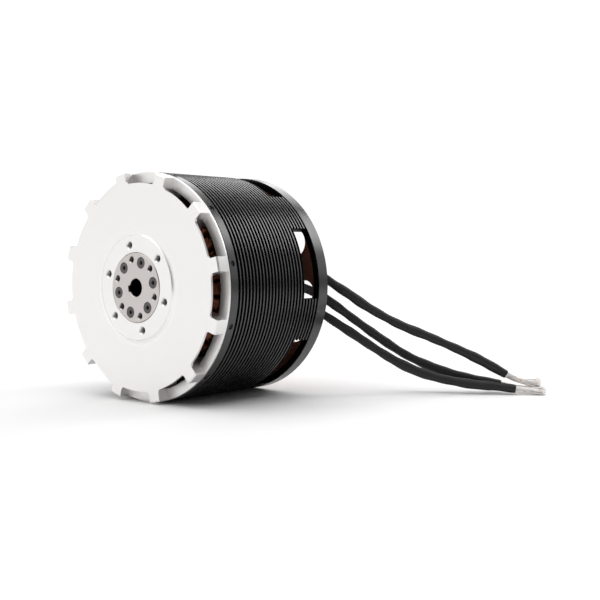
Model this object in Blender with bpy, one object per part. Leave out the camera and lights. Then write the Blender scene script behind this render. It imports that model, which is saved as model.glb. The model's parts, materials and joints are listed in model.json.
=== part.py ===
"""A 150 mm brushless outrunner motor for a large propeller or winch.

The shaft lies along Y: the silver cap faces -Y and the mounting face faces +Y.
The origin is the centre of the mounting face. The motor lies on its barrel, and
its three leads run from the back of the stator down to the surface under it.

Outside (rotor): cap, shaft, barrel, flux ring, magnets and their fasteners.
Inside (stator): hub, laminated core, three windings, mounting flange and leads.
Between them: two ball bearings, each with its own races and ball set.
"""

import math

import bmesh
import bpy
from mathutils import Matrix

MM = 0.001

# Driving dimensions. A depth is measured from the cap's front face, towards the mount.
MOTOR_LENGTH = 108 * MM
ROTOR_RADIUS = 75 * MM
BARREL_END = 104 * MM
BARREL_WALL = 4.6 * MM
GAP = 0.3 * MM
ROTOR_SIDES = 48
BORE_SIDES = 30

# Cap: a disc on twelve ribs, whose outer ends hold a thin rim and a lug inside the barrel.
SPOKES = 12
FIRST_SPOKE = math.radians(12.4)
SPOKE_WIDTH = 9.2 * MM
DISC_RADIUS = 67.5 * MM
DISC_THICKNESS = 4.2 * MM
EDGE_THICKNESS = 1.5 * MM
RIB_INNER = 36 * MM
RIB_BACK = 10.8 * MM
BOSS_RADIUS = 34 * MM
BOSS_RISE = 1.2 * MM
RIM_FRONT = 7.9 * MM
RIM_BACK = 9.4 * MM
RIM_INNER = 67.5 * MM
SPIGOT_RADIUS = ROTOR_RADIUS - BARREL_WALL - GAP
SPIGOT_BACK = 10.6 * MM
SPOKE_CHAMFER = 0.8 * MM
LUG_INNER = 62 * MM
LUG_BACK = 17 * MM
HUB_SEAT = 4.8 * MM

# Shaft with its flange, the steel disc in the middle of the cap.
FLANGE_RADIUS = 22.6 * MM
FLANGE_FRONT = -1.35 * MM
SHAFT_RADIUS = 10 * MM
SHAFT_END = 103 * MM
SHAFT_BORE = 5.9 * MM
SHAFT_BORE_DEPTH = 45 * MM
KEYWAY_WIDTH = 4.2 * MM
KEYWAY_DEPTH = 1.3 * MM
KEYWAY_TURN = math.radians(7)
HUB_SCREW_CIRCLE = 16.9 * MM
HUB_TAPPED_CIRCLE = 18.6 * MM
BOSS_TAPPED_CIRCLE = 28.1 * MM
FIRST_HUB_SCREW = math.radians(12)
FIRST_HUB_TAPPED = math.radians(42.3)

# Barrel and what is glued into it.
WINDOWS = 6
WINDOW_SPAN = math.radians(37.5)
WINDOW_FRONT = 79.1 * MM
WINDOW_BACK = 94.1 * MM
REAR_RING_INNER = 70.8 * MM
GRUB_DEPTH = 12.9 * MM
GRUB_RADIUS = 1.5 * MM
MAGNETS = 42
MAGNET_FRONT = 19 * MM
MAGNET_BACK = 77 * MM

# Stator.
TEETH = 36
CORE_RADIUS = 63.2 * MM
CORE_BORE = 44 * MM
CORE_FRONT = 20 * MM
CORE_BACK = 76 * MM
TOOTH_HALF = 2.2 * MM
COIL_OVERHANG = 8 * MM
PHASE_RINGS = {"u": 52 * MM, "v": 55.4 * MM, "w": 58.8 * MM}
PHASE_PATTERN = "uuvvwwuuvvww"

# Bearings, both the 20 x 42 mm size.
BEARING_CENTRES = {"front": 26 * MM, "rear": 93 * MM}
RACE_HALF_WIDTH = 5.7 * MM
BALL_CIRCLE = 15.6 * MM
BALL_RADIUS = 3.2 * MM
BALLS = 8

# Mounting flange with its thin web, and the hub collar that it is screwed to.
MOUNT_RADIUS = 36 * MM
WEB_RADIUS = 69.5 * MM
WEB_FRONT = 100.9 * MM
WEB_BACK = 103.4 * MM
WEB_HOLE_CIRCLE = 55.5 * MM
WEB_HOLE_RADIUS = 10 * MM
FIRST_WEB_HOLE = math.radians(32)
WEB_HOLE_STEP = math.radians(59.2)
COLLAR_RADIUS = 32 * MM
COLLAR_BACK = 100.3 * MM
FLANGE_SCREW_CIRCLE = 28.5 * MM
MOUNT_HOLE_CIRCLE = 30 * MM

# Leads: routes of (x, depth, z) in millimetres, from the winding to the cut end of the sleeve.
LEAD_RADIUS = 3.2 * MM
STRAND_RADIUS = 2.5 * MM
LEAD_X = 49 * MM
LEAD_HEIGHTS = {"u": 12.5 * MM, "v": -1 * MM, "w": -11.5 * MM}
LEAD_ROUTES = {
    "u": [
        (49, 92, 12.5), (49, 99.5, 12.5), (49.6, 105.5, 12), (51.5, 111.5, 10.4),
        (54.6, 117, 7.7), (58.8, 121.9, 4), (64.5, 126.6, -1), (72, 132, -7), (83, 139.2, -15.9),
        (100, 151.2, -27.3), (118, 164, -36.4), (135, 176.2, -45.5),
        (147, 185.2, -52.8), (160.5, 194.9, -62),
    ],
    "v": [
        (49, 92, -1), (49, 99.5, -1), (49.6, 105.5, -1.6), (51.5, 111.5, -3.4),
        (54.7, 117.2, -6.4), (59.2, 122.6, -10.6), (65.4, 128.6, -16.6), (73.7, 136, -24.9),
        (88.5, 147.8, -38.5), (103.4, 159.6, -50.5), (121.7, 173.8, -60.4),
        (138, 185.8, -65.6), (155, 197, -69.6),
    ],
    "w": [
        (49, 92, -11.5), (49, 99.5, -11.5), (49.6, 105.2, -12.3), (51.6, 110.8, -14.5),
        (54.9, 116, -17.8), (59.6, 120.8, -21.9), (66.6, 126, -27.6), (76.5, 132.4, -35.2),
        (89.5, 140.6, -45.2), (102, 148.6, -54), (114, 156.6, -60.4), (126, 164.4, -64.6),
        (143.7, 175.9, -68.2), (157, 184.5, -69.4), (169.4, 192.2, -71),
    ],
}
STRAND_ROUTES = {
    "u": [(160.9, 195.2, -62.3), (167, 198.9, -65.3), (174, 202.8, -67), (182, 207, -67.8)],
    "v": [(155.5, 197.3, -69.7), (164, 202, -71.2), (172, 206.2, -71.8), (180, 211, -72)],
    "w": [(169.9, 192.5, -71.1), (176, 196.4, -71.8), (181, 199.8, -72), (187, 203.6, -72.1)],
}

FINISHES = {
    "satin_aluminium": ((0.84, 0.84, 0.83, 1), 1.0, 0.28),
    "black_anodised": ((0.022, 0.022, 0.024, 1), 0.85, 0.34),
    "ground_steel": ((0.52, 0.50, 0.49, 1), 1.0, 0.33),
    "black_oxide": ((0.02, 0.02, 0.022, 1), 0.7, 0.38),
    "magnet_nickel": ((0.45, 0.45, 0.44, 1), 1.0, 0.30),
    "flux_steel": ((0.10, 0.10, 0.11, 1), 0.9, 0.42),
    "lamination_steel": ((0.16, 0.16, 0.17, 1), 0.8, 0.45),
    "enamelled_copper": ((0.36, 0.10, 0.05, 1), 0.8, 0.32),
    "bearing_steel": ((0.60, 0.60, 0.61, 1), 1.0, 0.18),
    "hub_aluminium": ((0.07, 0.07, 0.075, 1), 0.8, 0.40),
    "bronze_anodised": ((0.30, 0.13, 0.10, 1), 0.5, 0.40),
    "braided_sleeve": ((0.016, 0.016, 0.018, 1), 0.0, 0.72),
    "tinned_copper": ((0.74, 0.70, 0.66, 1), 1.0, 0.36),
}


def clear_scene():
    for obj in list(bpy.data.objects):
        bpy.data.objects.remove(obj, do_unlink=True)


def y_at(depth):
    return depth - MOTOR_LENGTH


def make_finish(name):
    colour, metallic, roughness = FINISHES[name]
    material = bpy.data.materials.new(name)
    material.use_nodes = True
    shader = material.node_tree.nodes["Principled BSDF"]
    shader.inputs["Base Color"].default_value = colour
    shader.inputs["Metallic"].default_value = metallic
    shader.inputs["Roughness"].default_value = roughness
    material.diffuse_color = colour
    return material


def finish_of(name):
    return bpy.data.materials.get(name) or make_finish(name)


def mesh_from(bm, name):
    """Closes the bmesh into a mesh with outward normals and smooth round faces."""
    bmesh.ops.remove_doubles(bm, verts=bm.verts, dist=1e-6)
    bmesh.ops.recalc_face_normals(bm, faces=bm.faces)
    mesh = bpy.data.meshes.new(name)
    bm.to_mesh(mesh)
    bm.free()
    mesh.shade_smooth()
    mesh.set_sharp_from_angle(angle=math.radians(35))
    return mesh


def add_object(name, mesh, parent, finish):
    obj = bpy.data.objects.new(name, mesh)
    bpy.context.scene.collection.objects.link(obj)
    obj.parent = parent
    if not mesh.materials:
        mesh.materials.append(finish_of(finish))
    return obj


def add_empty(name, depth=MOTOR_LENGTH):
    empty = bpy.data.objects.new(name, None)
    empty.location = (0, y_at(depth), 0)
    bpy.context.scene.collection.objects.link(empty)
    return empty


def add_cutter(name, mesh, parent=None):
    cutter = bpy.data.objects.new(name, mesh)
    bpy.context.scene.collection.objects.link(cutter)
    cutter.parent = parent
    cutter.hide_render = True
    cutter.display_type = "WIRE"
    return cutter


def combine(obj, other, operation):
    modifier = obj.modifiers.new(f"{operation} {other.name}", "BOOLEAN")
    modifier.operation = operation
    modifier.solver = "EXACT"
    modifier.object = other


def cut(obj, *cutters):
    for cutter in cutters:
        combine(obj, cutter, "DIFFERENCE")


def join(obj, *others):
    for other in others:
        combine(obj, other, "UNION")


# --- Shapes -------------------------------------------------------------------


def turned_mesh(name, outline, sides, half_step=True):
    """A profile of (radius, depth) turned about the Y axis.

    A profile that starts and ends on the axis makes a solid bar; any other is closed
    into a ring. With half_step a flat, not an edge, is at the very bottom.
    """
    bm = bmesh.new()
    verts = [bm.verts.new((radius, y_at(depth), 0)) for radius, depth in outline]
    pairs = list(zip(verts, verts[1:]))
    if outline[0][0] > 0:
        pairs.append((verts[-1], verts[0]))
    edges = [bm.edges.new(pair) for pair in pairs]
    if half_step:
        bmesh.ops.rotate(bm, verts=verts, matrix=Matrix.Rotation(math.pi / sides, 3, "Y"))
    bmesh.ops.spin(
        bm, geom=verts + edges, axis=(0, 1, 0), cent=(0, 0, 0),
        angle=2 * math.pi, steps=sides, use_merge=True,
    )
    return mesh_from(bm, name)


def turned(name, outline, sides, parent, finish):
    return add_object(name, turned_mesh(name, outline, sides), parent, finish)


def ring(name, inner, outer, front, back, sides, parent, finish):
    outline = [(inner, front), (outer, front), (outer, back), (inner, back)]
    return turned(name, outline, sides, parent, finish)


def on_circle(radius, count, first=0.0):
    """Places (x, z) spaced evenly round a circle."""
    angles = [first + 2 * math.pi * k / count for k in range(count)]
    return [(radius * math.cos(a), radius * math.sin(a)) for a in angles]


def along_y(x, depth, z):
    """Stands a Z-axis primitive along Y, centred at a place."""
    return Matrix.Translation((x, y_at(depth), z)) @ Matrix.Rotation(math.pi / 2, 4, "X")


def add_rod(bm, radius, front, back, x, z, sides):
    bmesh.ops.create_cone(
        bm, cap_ends=True, segments=sides, radius1=radius, radius2=radius,
        depth=back - front, matrix=along_y(x, (front + back) / 2, z) @ Matrix.Rotation(math.pi, 4, "X"),
    )


def rods(name, radius, front, back, places, sides=12):
    bm = bmesh.new()
    for x, z in places:
        add_rod(bm, radius, front, back, x, z, sides)
    return mesh_from(bm, name)


def add_block(bm, low, high):
    """A box between two corners given as (x, depth, z)."""
    size = [b - a for a, b in zip(low, high)]
    centre = [(a + b) / 2 for a, b in zip(low, high)]
    place = Matrix.Translation((centre[0], y_at(centre[1]), centre[2]))
    bmesh.ops.create_cube(bm, size=1, matrix=place @ Matrix.Diagonal((*size, 1)))


def block_mesh(name, low, high):
    bm = bmesh.new()
    add_block(bm, low, high)
    return mesh_from(bm, name)


def add_prism(bm, outline, front, back, turn=0.0):
    """An outline of (x, z) extruded along Y and turned about the motor's axis."""
    verts = [bm.verts.new((x, y_at(front), z)) for x, z in outline]
    face = bm.faces.new(verts)
    grown = bmesh.ops.extrude_face_region(bm, geom=[face])["geom"]
    moved = [item for item in grown if isinstance(item, bmesh.types.BMVert)]
    bmesh.ops.translate(bm, verts=moved, vec=(0, back - front, 0))
    spin = Matrix.Rotation(-turn, 3, "Y")
    bmesh.ops.rotate(bm, verts=verts + moved, cent=(0, 0, 0), matrix=spin)


def polar(radius, angle):
    return (radius * math.cos(angle), radius * math.sin(angle))


# --- Fasteners ----------------------------------------------------------------


def countersunk_outline(radius, head, head_depth, length, extra=0.0):
    """Half a countersunk screw: its head's top is at depth 0 and it points to +Y."""
    return [
        (0, -extra), (head + extra, -extra), (head + extra, 0.3 * MM),
        (radius + extra, head_depth + extra), (radius + extra, length + extra), (0, length + extra),
    ]


def local_outline(outline):
    """Moves a profile so that depth 0 falls on the object's own origin."""
    return [(radius, depth + MOTOR_LENGTH) for radius, depth in outline]


def socket_cutter(name, radius, depth):
    bm = bmesh.new()
    add_rod(bm, radius, MOTOR_LENGTH - MM, MOTOR_LENGTH + depth, 0, 0, 6)
    return add_cutter(name, mesh_from(bm, name))


def countersunk_mesh(name, length):
    """An M4 countersunk screw with a hexagon socket, made once and shared."""
    outline = local_outline(countersunk_outline(2 * MM, 3.85 * MM, 2.3 * MM, length))
    blank = add_cutter(name + "_blank", turned_mesh(name, outline, 12))
    cut(blank, socket_cutter(name + "_socket", 1.55 * MM, 1.6 * MM))
    bpy.context.view_layer.update()
    shape = blank.evaluated_get(bpy.context.evaluated_depsgraph_get())
    mesh = bpy.data.meshes.new_from_object(shape)
    mesh.name = name
    mesh.materials.clear()
    return mesh


def screw_seats(name, places, face_depth, length, facing=1):
    """Cutters that leave a clearance round each countersunk screw."""
    outline = local_outline(countersunk_outline(2 * MM, 3.85 * MM, 2.3 * MM, length, GAP))
    bm = bmesh.new()
    pattern = turned_mesh(name + "_pattern", outline, 12)
    for x, z in places:
        start = len(bm.verts)
        bm.from_mesh(pattern)
        bm.verts.ensure_lookup_table()
        turn = Matrix.Rotation(0 if facing > 0 else math.pi, 4, "Z")
        bmesh.ops.transform(
            bm, verts=bm.verts[start:], matrix=Matrix.Translation((x, y_at(face_depth), z)) @ turn
        )
    return add_cutter(name, mesh_from(bm, name))


def place_screws(stem, mesh, places, face_depth, parent, facing=1):
    for number, (x, z) in enumerate(places, 1):
        screw = add_object(f"{stem}_{number}", mesh, parent, "black_oxide")
        screw.location = (x, y_at(face_depth) - parent.location.y, z)
        screw.rotation_euler.z = 0 if facing > 0 else math.pi


def grub_places():
    return [FIRST_SPOKE + 2 * math.pi * k / SPOKES for k in range(SPOKES)]


def radial_rods(name, radius, inner, outer, depth, angles, sides=8):
    bm = bmesh.new()
    for angle in angles:
        x, z = polar((inner + outer) / 2, angle)
        place = Matrix.Translation((x, y_at(depth), z)) @ Matrix.Rotation(math.pi / 2 - angle, 4, "Y")
        bmesh.ops.create_cone(
            bm, cap_ends=True, segments=sides, radius1=radius, radius2=radius,
            depth=outer - inner, matrix=place,
        )
    return mesh_from(bm, name)


def build_grub_screws(rotor):
    inner, outer = 66.8 * MM, 74.2 * MM
    bm = bmesh.new()
    bmesh.ops.create_cone(
        bm, cap_ends=True, segments=8, radius1=GRUB_RADIUS, radius2=GRUB_RADIUS, depth=outer - inner
    )
    mesh = mesh_from(bm, "grub_screw")
    for number, angle in enumerate(grub_places(), 1):
        screw = add_object(f"grub_screw_{number}", mesh, rotor, "black_oxide")
        x, z = polar((inner + outer) / 2, angle)
        screw.location = (x, y_at(GRUB_DEPTH) - rotor.location.y, z)
        screw.rotation_euler.y = math.pi / 2 - angle


# --- Rotor --------------------------------------------------------------------


def cap_openings():
    """Everything cut away between the ribs: pockets in front, and all behind the disc."""
    outline = [
        (DISC_RADIUS, -3 * MM), (80 * MM, -3 * MM), (80 * MM, RIM_FRONT), (RIM_INNER, RIM_FRONT),
        (RIM_INNER, SPIGOT_BACK), (SPIGOT_RADIUS + GAP / 2, SPIGOT_BACK),
        (SPIGOT_RADIUS + GAP / 2, 20 * MM), (RIB_INNER, 20 * MM), (RIB_INNER, DISC_THICKNESS),
        (DISC_RADIUS, EDGE_THICKNESS),
    ]
    cutter = add_cutter("cap_openings", turned_mesh("cap_openings", outline, ROTOR_SIDES))
    half = SPOKE_WIDTH / 2
    spoke = [(30 * MM, -half), (90 * MM, -half), (90 * MM, half), (30 * MM, half)]
    bm = bmesh.new()
    for angle in grub_places():
        add_prism(bm, spoke, -5 * MM, 25 * MM, angle)
    cut(cutter, add_cutter("cap_spokes", mesh_from(bm, "cap_spokes")))
    return cutter


def build_cap(rotor, grub_holes, screw_places):
    outline = [
        (SHAFT_RADIUS + 0.4 * MM, HUB_SEAT), (FLANGE_RADIUS + GAP, HUB_SEAT),
        (FLANGE_RADIUS + GAP, -BOSS_RISE), (BOSS_RADIUS - 0.3 * MM, -BOSS_RISE),
        (BOSS_RADIUS, 0.3 * MM - BOSS_RISE), (BOSS_RADIUS, 0),
        (ROTOR_RADIUS - SPOKE_CHAMFER, 0), (ROTOR_RADIUS, SPOKE_CHAMFER), (ROTOR_RADIUS, RIM_BACK),
        (SPIGOT_RADIUS, RIM_BACK), (SPIGOT_RADIUS, LUG_BACK), (LUG_INNER, LUG_BACK),
        (LUG_INNER, RIB_BACK), (32 * MM, RIB_BACK), (32 * MM, 13 * MM),
        (SHAFT_RADIUS + 0.4 * MM, 13 * MM),
    ]
    cap = turned("front_cap", outline, ROTOR_SIDES, rotor, "satin_aluminium")
    holes = rods("cap_screw_holes", 2.3 * MM, 3 * MM, 11 * MM, screw_places)
    tapped_places = on_circle(BOSS_TAPPED_CIRCLE, 6, FIRST_HUB_TAPPED)
    tapped = rods("boss_tapped_holes", 2.4 * MM, -3 * MM, 8 * MM, tapped_places)
    cut(
        cap, grub_holes, add_cutter("cap_screw_holes", holes),
        add_cutter("boss_tapped_holes", tapped), cap_openings(),
    )


def build_shaft(rotor, screw_places, seats):
    groove_front, groove_back, groove_radius = 98.9 * MM, 100.3 * MM, 9.3 * MM
    outline = [
        (0, SHAFT_BORE_DEPTH), (SHAFT_BORE, SHAFT_BORE_DEPTH), (SHAFT_BORE, FLANGE_FRONT),
        (FLANGE_RADIUS - 0.3 * MM, FLANGE_FRONT), (FLANGE_RADIUS, FLANGE_FRONT + 0.3 * MM),
        (FLANGE_RADIUS, HUB_SEAT - GAP), (SHAFT_RADIUS, HUB_SEAT - GAP),
        (SHAFT_RADIUS, groove_front), (groove_radius, groove_front),
        (groove_radius, groove_back), (SHAFT_RADIUS, groove_back),
        (SHAFT_RADIUS, SHAFT_END - 0.6 * MM), (SHAFT_RADIUS - 0.6 * MM, SHAFT_END), (0, SHAFT_END),
    ]
    shaft = turned("shaft", outline, BORE_SIDES, rotor, "ground_steel")
    half = KEYWAY_WIDTH / 2
    low = (-SHAFT_BORE - KEYWAY_DEPTH, FLANGE_FRONT - MM, -half)
    high = (-SHAFT_BORE / 2, SHAFT_BORE_DEPTH - MM, half)
    keyway = add_cutter("shaft_keyway", block_mesh("shaft_keyway", low, high))
    keyway.rotation_euler.y = -KEYWAY_TURN
    places = on_circle(HUB_TAPPED_CIRCLE, 6, FIRST_HUB_TAPPED)
    tapped = rods("hub_tapped_holes", 2.4 * MM, -3 * MM, 3.2 * MM, places)
    cut(shaft, keyway, add_cutter("hub_tapped_holes", tapped), seats)


def build_barrel(rotor, grub_holes):
    inner = ROTOR_RADIUS - BARREL_WALL
    front = RIM_BACK + GAP
    outline = [
        (inner, front), (ROTOR_RADIUS, front), (ROTOR_RADIUS, BARREL_END),
        (REAR_RING_INNER, BARREL_END), (REAR_RING_INNER, WINDOW_BACK), (inner, WINDOW_BACK),
    ]
    barrel = turned("rotor_barrel", outline, ROTOR_SIDES, rotor, "black_anodised")
    arc = [WINDOW_SPAN * (k / 6 - 0.5) for k in range(7)]
    sector = [polar(60 * MM, angle) for angle in arc] + [polar(80 * MM, angle) for angle in reversed(arc)]
    bm = bmesh.new()
    for k in range(WINDOWS):
        add_prism(bm, sector, WINDOW_FRONT, WINDOW_BACK, FIRST_SPOKE + 2 * math.pi * k / WINDOWS)
    cut(barrel, add_cutter("barrel_windows", mesh_from(bm, "barrel_windows")), grub_holes)


def build_circlip(rotor):
    """An open retaining ring in the groove near the shaft's rear end."""
    inner, outer, half_open = 9.6 * MM, 13 * MM, math.radians(22)
    span = [half_open + (2 * math.pi - 2 * half_open) * k / 20 for k in range(21)]
    outline = [polar(outer, a) for a in span] + [polar(inner, a) for a in reversed(span)]
    bm = bmesh.new()
    add_prism(bm, outline, 99 * MM, 100.2 * MM, math.pi / 2)
    add_object("shaft_circlip", mesh_from(bm, "shaft_circlip"), rotor, "black_oxide")


def build_rotor(rotor):
    screw_places = on_circle(HUB_SCREW_CIRCLE, 6, FIRST_HUB_SCREW)
    seats = screw_seats("hub_screw_seats", screw_places, FLANGE_FRONT, 12 * MM)
    holes = radial_rods("grub_holes", GRUB_RADIUS + GAP, 66.5 * MM, 77 * MM, GRUB_DEPTH, grub_places())
    grub_holes = add_cutter("grub_holes", holes)
    build_cap(rotor, grub_holes, screw_places)
    build_shaft(rotor, screw_places, seats)
    place_screws("hub_screw", countersunk_mesh("hub_screw", 11 * MM), screw_places, FLANGE_FRONT, rotor)
    build_barrel(rotor, grub_holes)
    build_grub_screws(rotor)
    flux_outer = ROTOR_RADIUS - BARREL_WALL - GAP
    ring("flux_ring", 67.4 * MM, flux_outer, 17.3 * MM, 78.5 * MM, ROTOR_SIDES, rotor, "flux_steel")
    ring(
        "magnet_ring", 64.1 * MM, 67.1 * MM, MAGNET_FRONT, MAGNET_BACK, MAGNETS, rotor, "magnet_nickel"
    )
    ring("front_spacer", 10.3 * MM, 13.5 * MM, 13.3 * MM, 20 * MM, 24, rotor, "ground_steel")
    ring("bearing_spacer", 10.3 * MM, 13.5 * MM, 32 * MM, 87 * MM, 24, rotor, "ground_steel")
    build_circlip(rotor)


# --- Bearings -----------------------------------------------------------------


def race_outline(wall, track, groove, centre):
    """A race from its plain wall to its track, which has a groove for the balls."""
    front, back = centre - RACE_HALF_WIDTH, centre + RACE_HALF_WIDTH
    lip, floor = 3.1 * MM, 1.6 * MM
    return [
        (wall, front), (track, front), (track, centre - lip), (groove, centre - floor),
        (groove, centre + floor), (track, centre + lip), (track, back), (wall, back),
    ]


def build_ball_set(name, centre, parent):
    """Eight balls held by their cage; the cage's axis is the motor's."""
    bm = bmesh.new()
    for x, z in on_circle(BALL_CIRCLE, BALLS):
        place = Matrix.Translation((x, y_at(centre), z))
        bmesh.ops.create_icosphere(bm, subdivisions=1, radius=BALL_RADIUS, matrix=place)
    balls = add_cutter(name + "_balls", mesh_from(bm, name + "_balls"))
    half = 2.2 * MM
    cage = ring(name, 14.8 * MM, 16.4 * MM, -half, half, 24, parent, "bearing_steel")
    cage.location.y = MOTOR_LENGTH
    join(cage, balls)


def build_bearing(place, rotor, stator, ball_parent):
    centre = BEARING_CENTRES[place]
    inner = race_outline(10.3 * MM, 13.6 * MM, 12.15 * MM, centre)
    outer = race_outline(20.7 * MM, 17.6 * MM, 19.05 * MM, centre)
    turned(f"{place}_bearing_inner_race", inner, 24, rotor, "bearing_steel")
    turned(f"{place}_bearing_outer_race", outer, 24, stator, "bearing_steel")
    build_ball_set(f"{place}_bearing_balls", centre, ball_parent)


# --- Stator -------------------------------------------------------------------


def tooth_outline():
    """The T-shaped teeth round the core, as (x, z) points."""
    yoke, neck, shoulder = 49.5 * MM, 60.9 * MM, 61.8 * MM
    tip = math.radians(4.1)
    points = []
    for k in range(TEETH):
        middle = 2 * math.pi * k / TEETH
        root, top = math.asin(TOOTH_HALF / yoke), math.asin(TOOTH_HALF / neck)
        half = [(yoke, root), (neck, top), (shoulder, tip), (CORE_RADIUS, tip)]
        points += [polar(radius, middle - angle) for radius, angle in half]
        points += [polar(radius, middle + angle) for radius, angle in reversed(half)]
    return points


def build_core(stator):
    bm = bmesh.new()
    add_prism(bm, tooth_outline(), CORE_FRONT, CORE_BACK)
    core = add_object("stator_core", mesh_from(bm, "stator_core"), stator, "lamination_steel")
    bore = rods("core_bore", CORE_BORE, CORE_FRONT - MM, CORE_BACK + MM, [(0, 0)], 36)
    cut(core, add_cutter("core_bore", bore))


def add_coil(bm, angle):
    """One coil: a rectangular loop round a tooth, wider towards the air gap."""
    inner, outer = 50 * MM, 60.3 * MM
    widths = {inner: 4.15 * MM, outer: 5.05 * MM}
    hole = TOOTH_HALF + GAP
    front, back = CORE_FRONT - COIL_OVERHANG, CORE_BACK + COIL_OVERHANG
    loops = []
    for radius in (inner, outer):
        wide = widths[radius]
        sizes = [(wide, front, back), (hole, CORE_FRONT - GAP, CORE_BACK + GAP)]
        for half, low, high in sizes:
            corners = [(-half, low), (half, low), (half, high), (-half, high)]
            loops.append([bm.verts.new((radius, y_at(depth), z)) for z, depth in corners])
    wide_in, hole_in, wide_out, hole_out = loops
    for a, b in ((wide_in, hole_in), (hole_out, wide_out), (wide_out, wide_in), (hole_in, hole_out)):
        for k in range(4):
            bm.faces.new((a[k], a[k - 1], b[k - 1], b[k]))
    verts = [vert for loop in loops for vert in loop]
    bmesh.ops.rotate(bm, verts=verts, cent=(0, 0, 0), matrix=Matrix.Rotation(-angle, 3, "Y"))


def add_post(bm, radius, angle, front, back):
    """A short square riser from a coil to its phase ring."""
    half = 1.3 * MM
    outline = [
        (radius - half, -half), (radius + half, -half), (radius + half, half), (radius - half, half)
    ]
    add_prism(bm, outline, front, back, angle)


def build_winding(phase, stator):
    """Twelve coils joined by the phase's ring, and the arm that meets its lead."""
    radius, height = PHASE_RINGS[phase], LEAD_HEIGHTS[phase]
    name = f"winding_phase_{phase}"
    coil_end = CORE_BACK + COIL_OVERHANG
    teeth = [k for k in range(TEETH) if PHASE_PATTERN[k % 12] == phase]
    coils, posts, arm_post = bmesh.new(), bmesh.new(), bmesh.new()
    for tooth in teeth:
        angle = 2 * math.pi * tooth / TEETH
        add_coil(coils, angle)
        add_post(posts, radius, angle, coil_end - MM, coil_end + 2 * MM)
    add_post(arm_post, radius, math.asin(height / radius), coil_end + 1.5 * MM, coil_end + 6 * MM)
    half = 1.3 * MM
    winding = ring(
        name, radius - half, radius + half, coil_end + 0.8 * MM, coil_end + 3.4 * MM, BORE_SIDES,
        stator, "enamelled_copper",
    )
    reach = math.sqrt(radius**2 - height**2) + half
    low = (LEAD_X - STRAND_RADIUS, coil_end + 4.4 * MM, height - STRAND_RADIUS)
    high = (reach, coil_end + 7.7 * MM, height + STRAND_RADIUS)
    arm = block_mesh(name + "_arm", low, high)
    join(
        winding,
        add_cutter(name + "_posts", mesh_from(posts, name + "_posts")),
        add_cutter(name + "_coils", mesh_from(coils, name + "_coils")),
        add_cutter(name + "_arm_post", mesh_from(arm_post, name + "_arm_post")),
        add_cutter(name + "_arm", arm),
    )


def build_stator_hub(stator, lead_grooves, clamp_holes):
    """Bearing tube, web and rim that carry the core, and the collar at the back."""
    rim_inner, rim_outer = 39 * MM, CORE_BORE - GAP
    tube, seat, shoulder = 25.5 * MM, 21 * MM, 18.5 * MM
    outline = [
        (seat, 18 * MM), (tube, 18 * MM), (tube, 44 * MM), (rim_inner, 44 * MM),
        (rim_inner, 22 * MM), (rim_outer, 22 * MM), (rim_outer, 74 * MM), (rim_inner, 74 * MM),
        (rim_inner, 52 * MM), (tube, 52 * MM), (tube, 88 * MM), (COLLAR_RADIUS, 90.5 * MM),
        (COLLAR_RADIUS, COLLAR_BACK), (seat, COLLAR_BACK), (seat, 87 * MM), (shoulder, 87 * MM),
        (shoulder, 32 * MM), (seat, 32 * MM),
    ]
    hub = turned("stator_hub", outline, BORE_SIDES, stator, "hub_aluminium")
    low, high = (28 * MM, 94 * MM, -22 * MM), (48.7 * MM, 99.5 * MM, 22 * MM)
    join(hub, add_cutter("lead_saddle", block_mesh("lead_saddle", low, high)))
    web = rods("web_holes", 4.5 * MM, 40 * MM, 56 * MM, on_circle(32.2 * MM, 6), 12)
    places = on_circle(FLANGE_SCREW_CIRCLE, 6, math.radians(30))
    screws = rods("collar_holes", 2.3 * MM, 95 * MM, 102 * MM, places)
    cut(
        hub, add_cutter("web_holes", web), add_cutter("collar_holes", screws),
        lead_grooves, clamp_holes,
    )


def web_cutters():
    """Six round holes in the flange's web, and the slot that the leads leave by."""
    low, high = WEB_FRONT - 3 * MM, WEB_BACK + 3 * MM
    turns = [FIRST_WEB_HOLE + WEB_HOLE_STEP * k for k in range(6)]
    places = [(WEB_HOLE_CIRCLE * math.cos(a), WEB_HOLE_CIRCLE * math.sin(a)) for a in turns]
    holes = rods("web_openings", WEB_HOLE_RADIUS, low, high, places, 24)
    slot = block_mesh("lead_slot", (44 * MM, low, -15.3 * MM), (54.5 * MM, high, 16 * MM))
    bay = rods("lead_bay", 7.5 * MM, low, high, [(57 * MM, -4 * MM)], 24)
    names = {"web_openings": holes, "lead_slot": slot, "lead_bay": bay}
    return [add_cutter(name, mesh) for name, mesh in names.items()]


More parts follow.
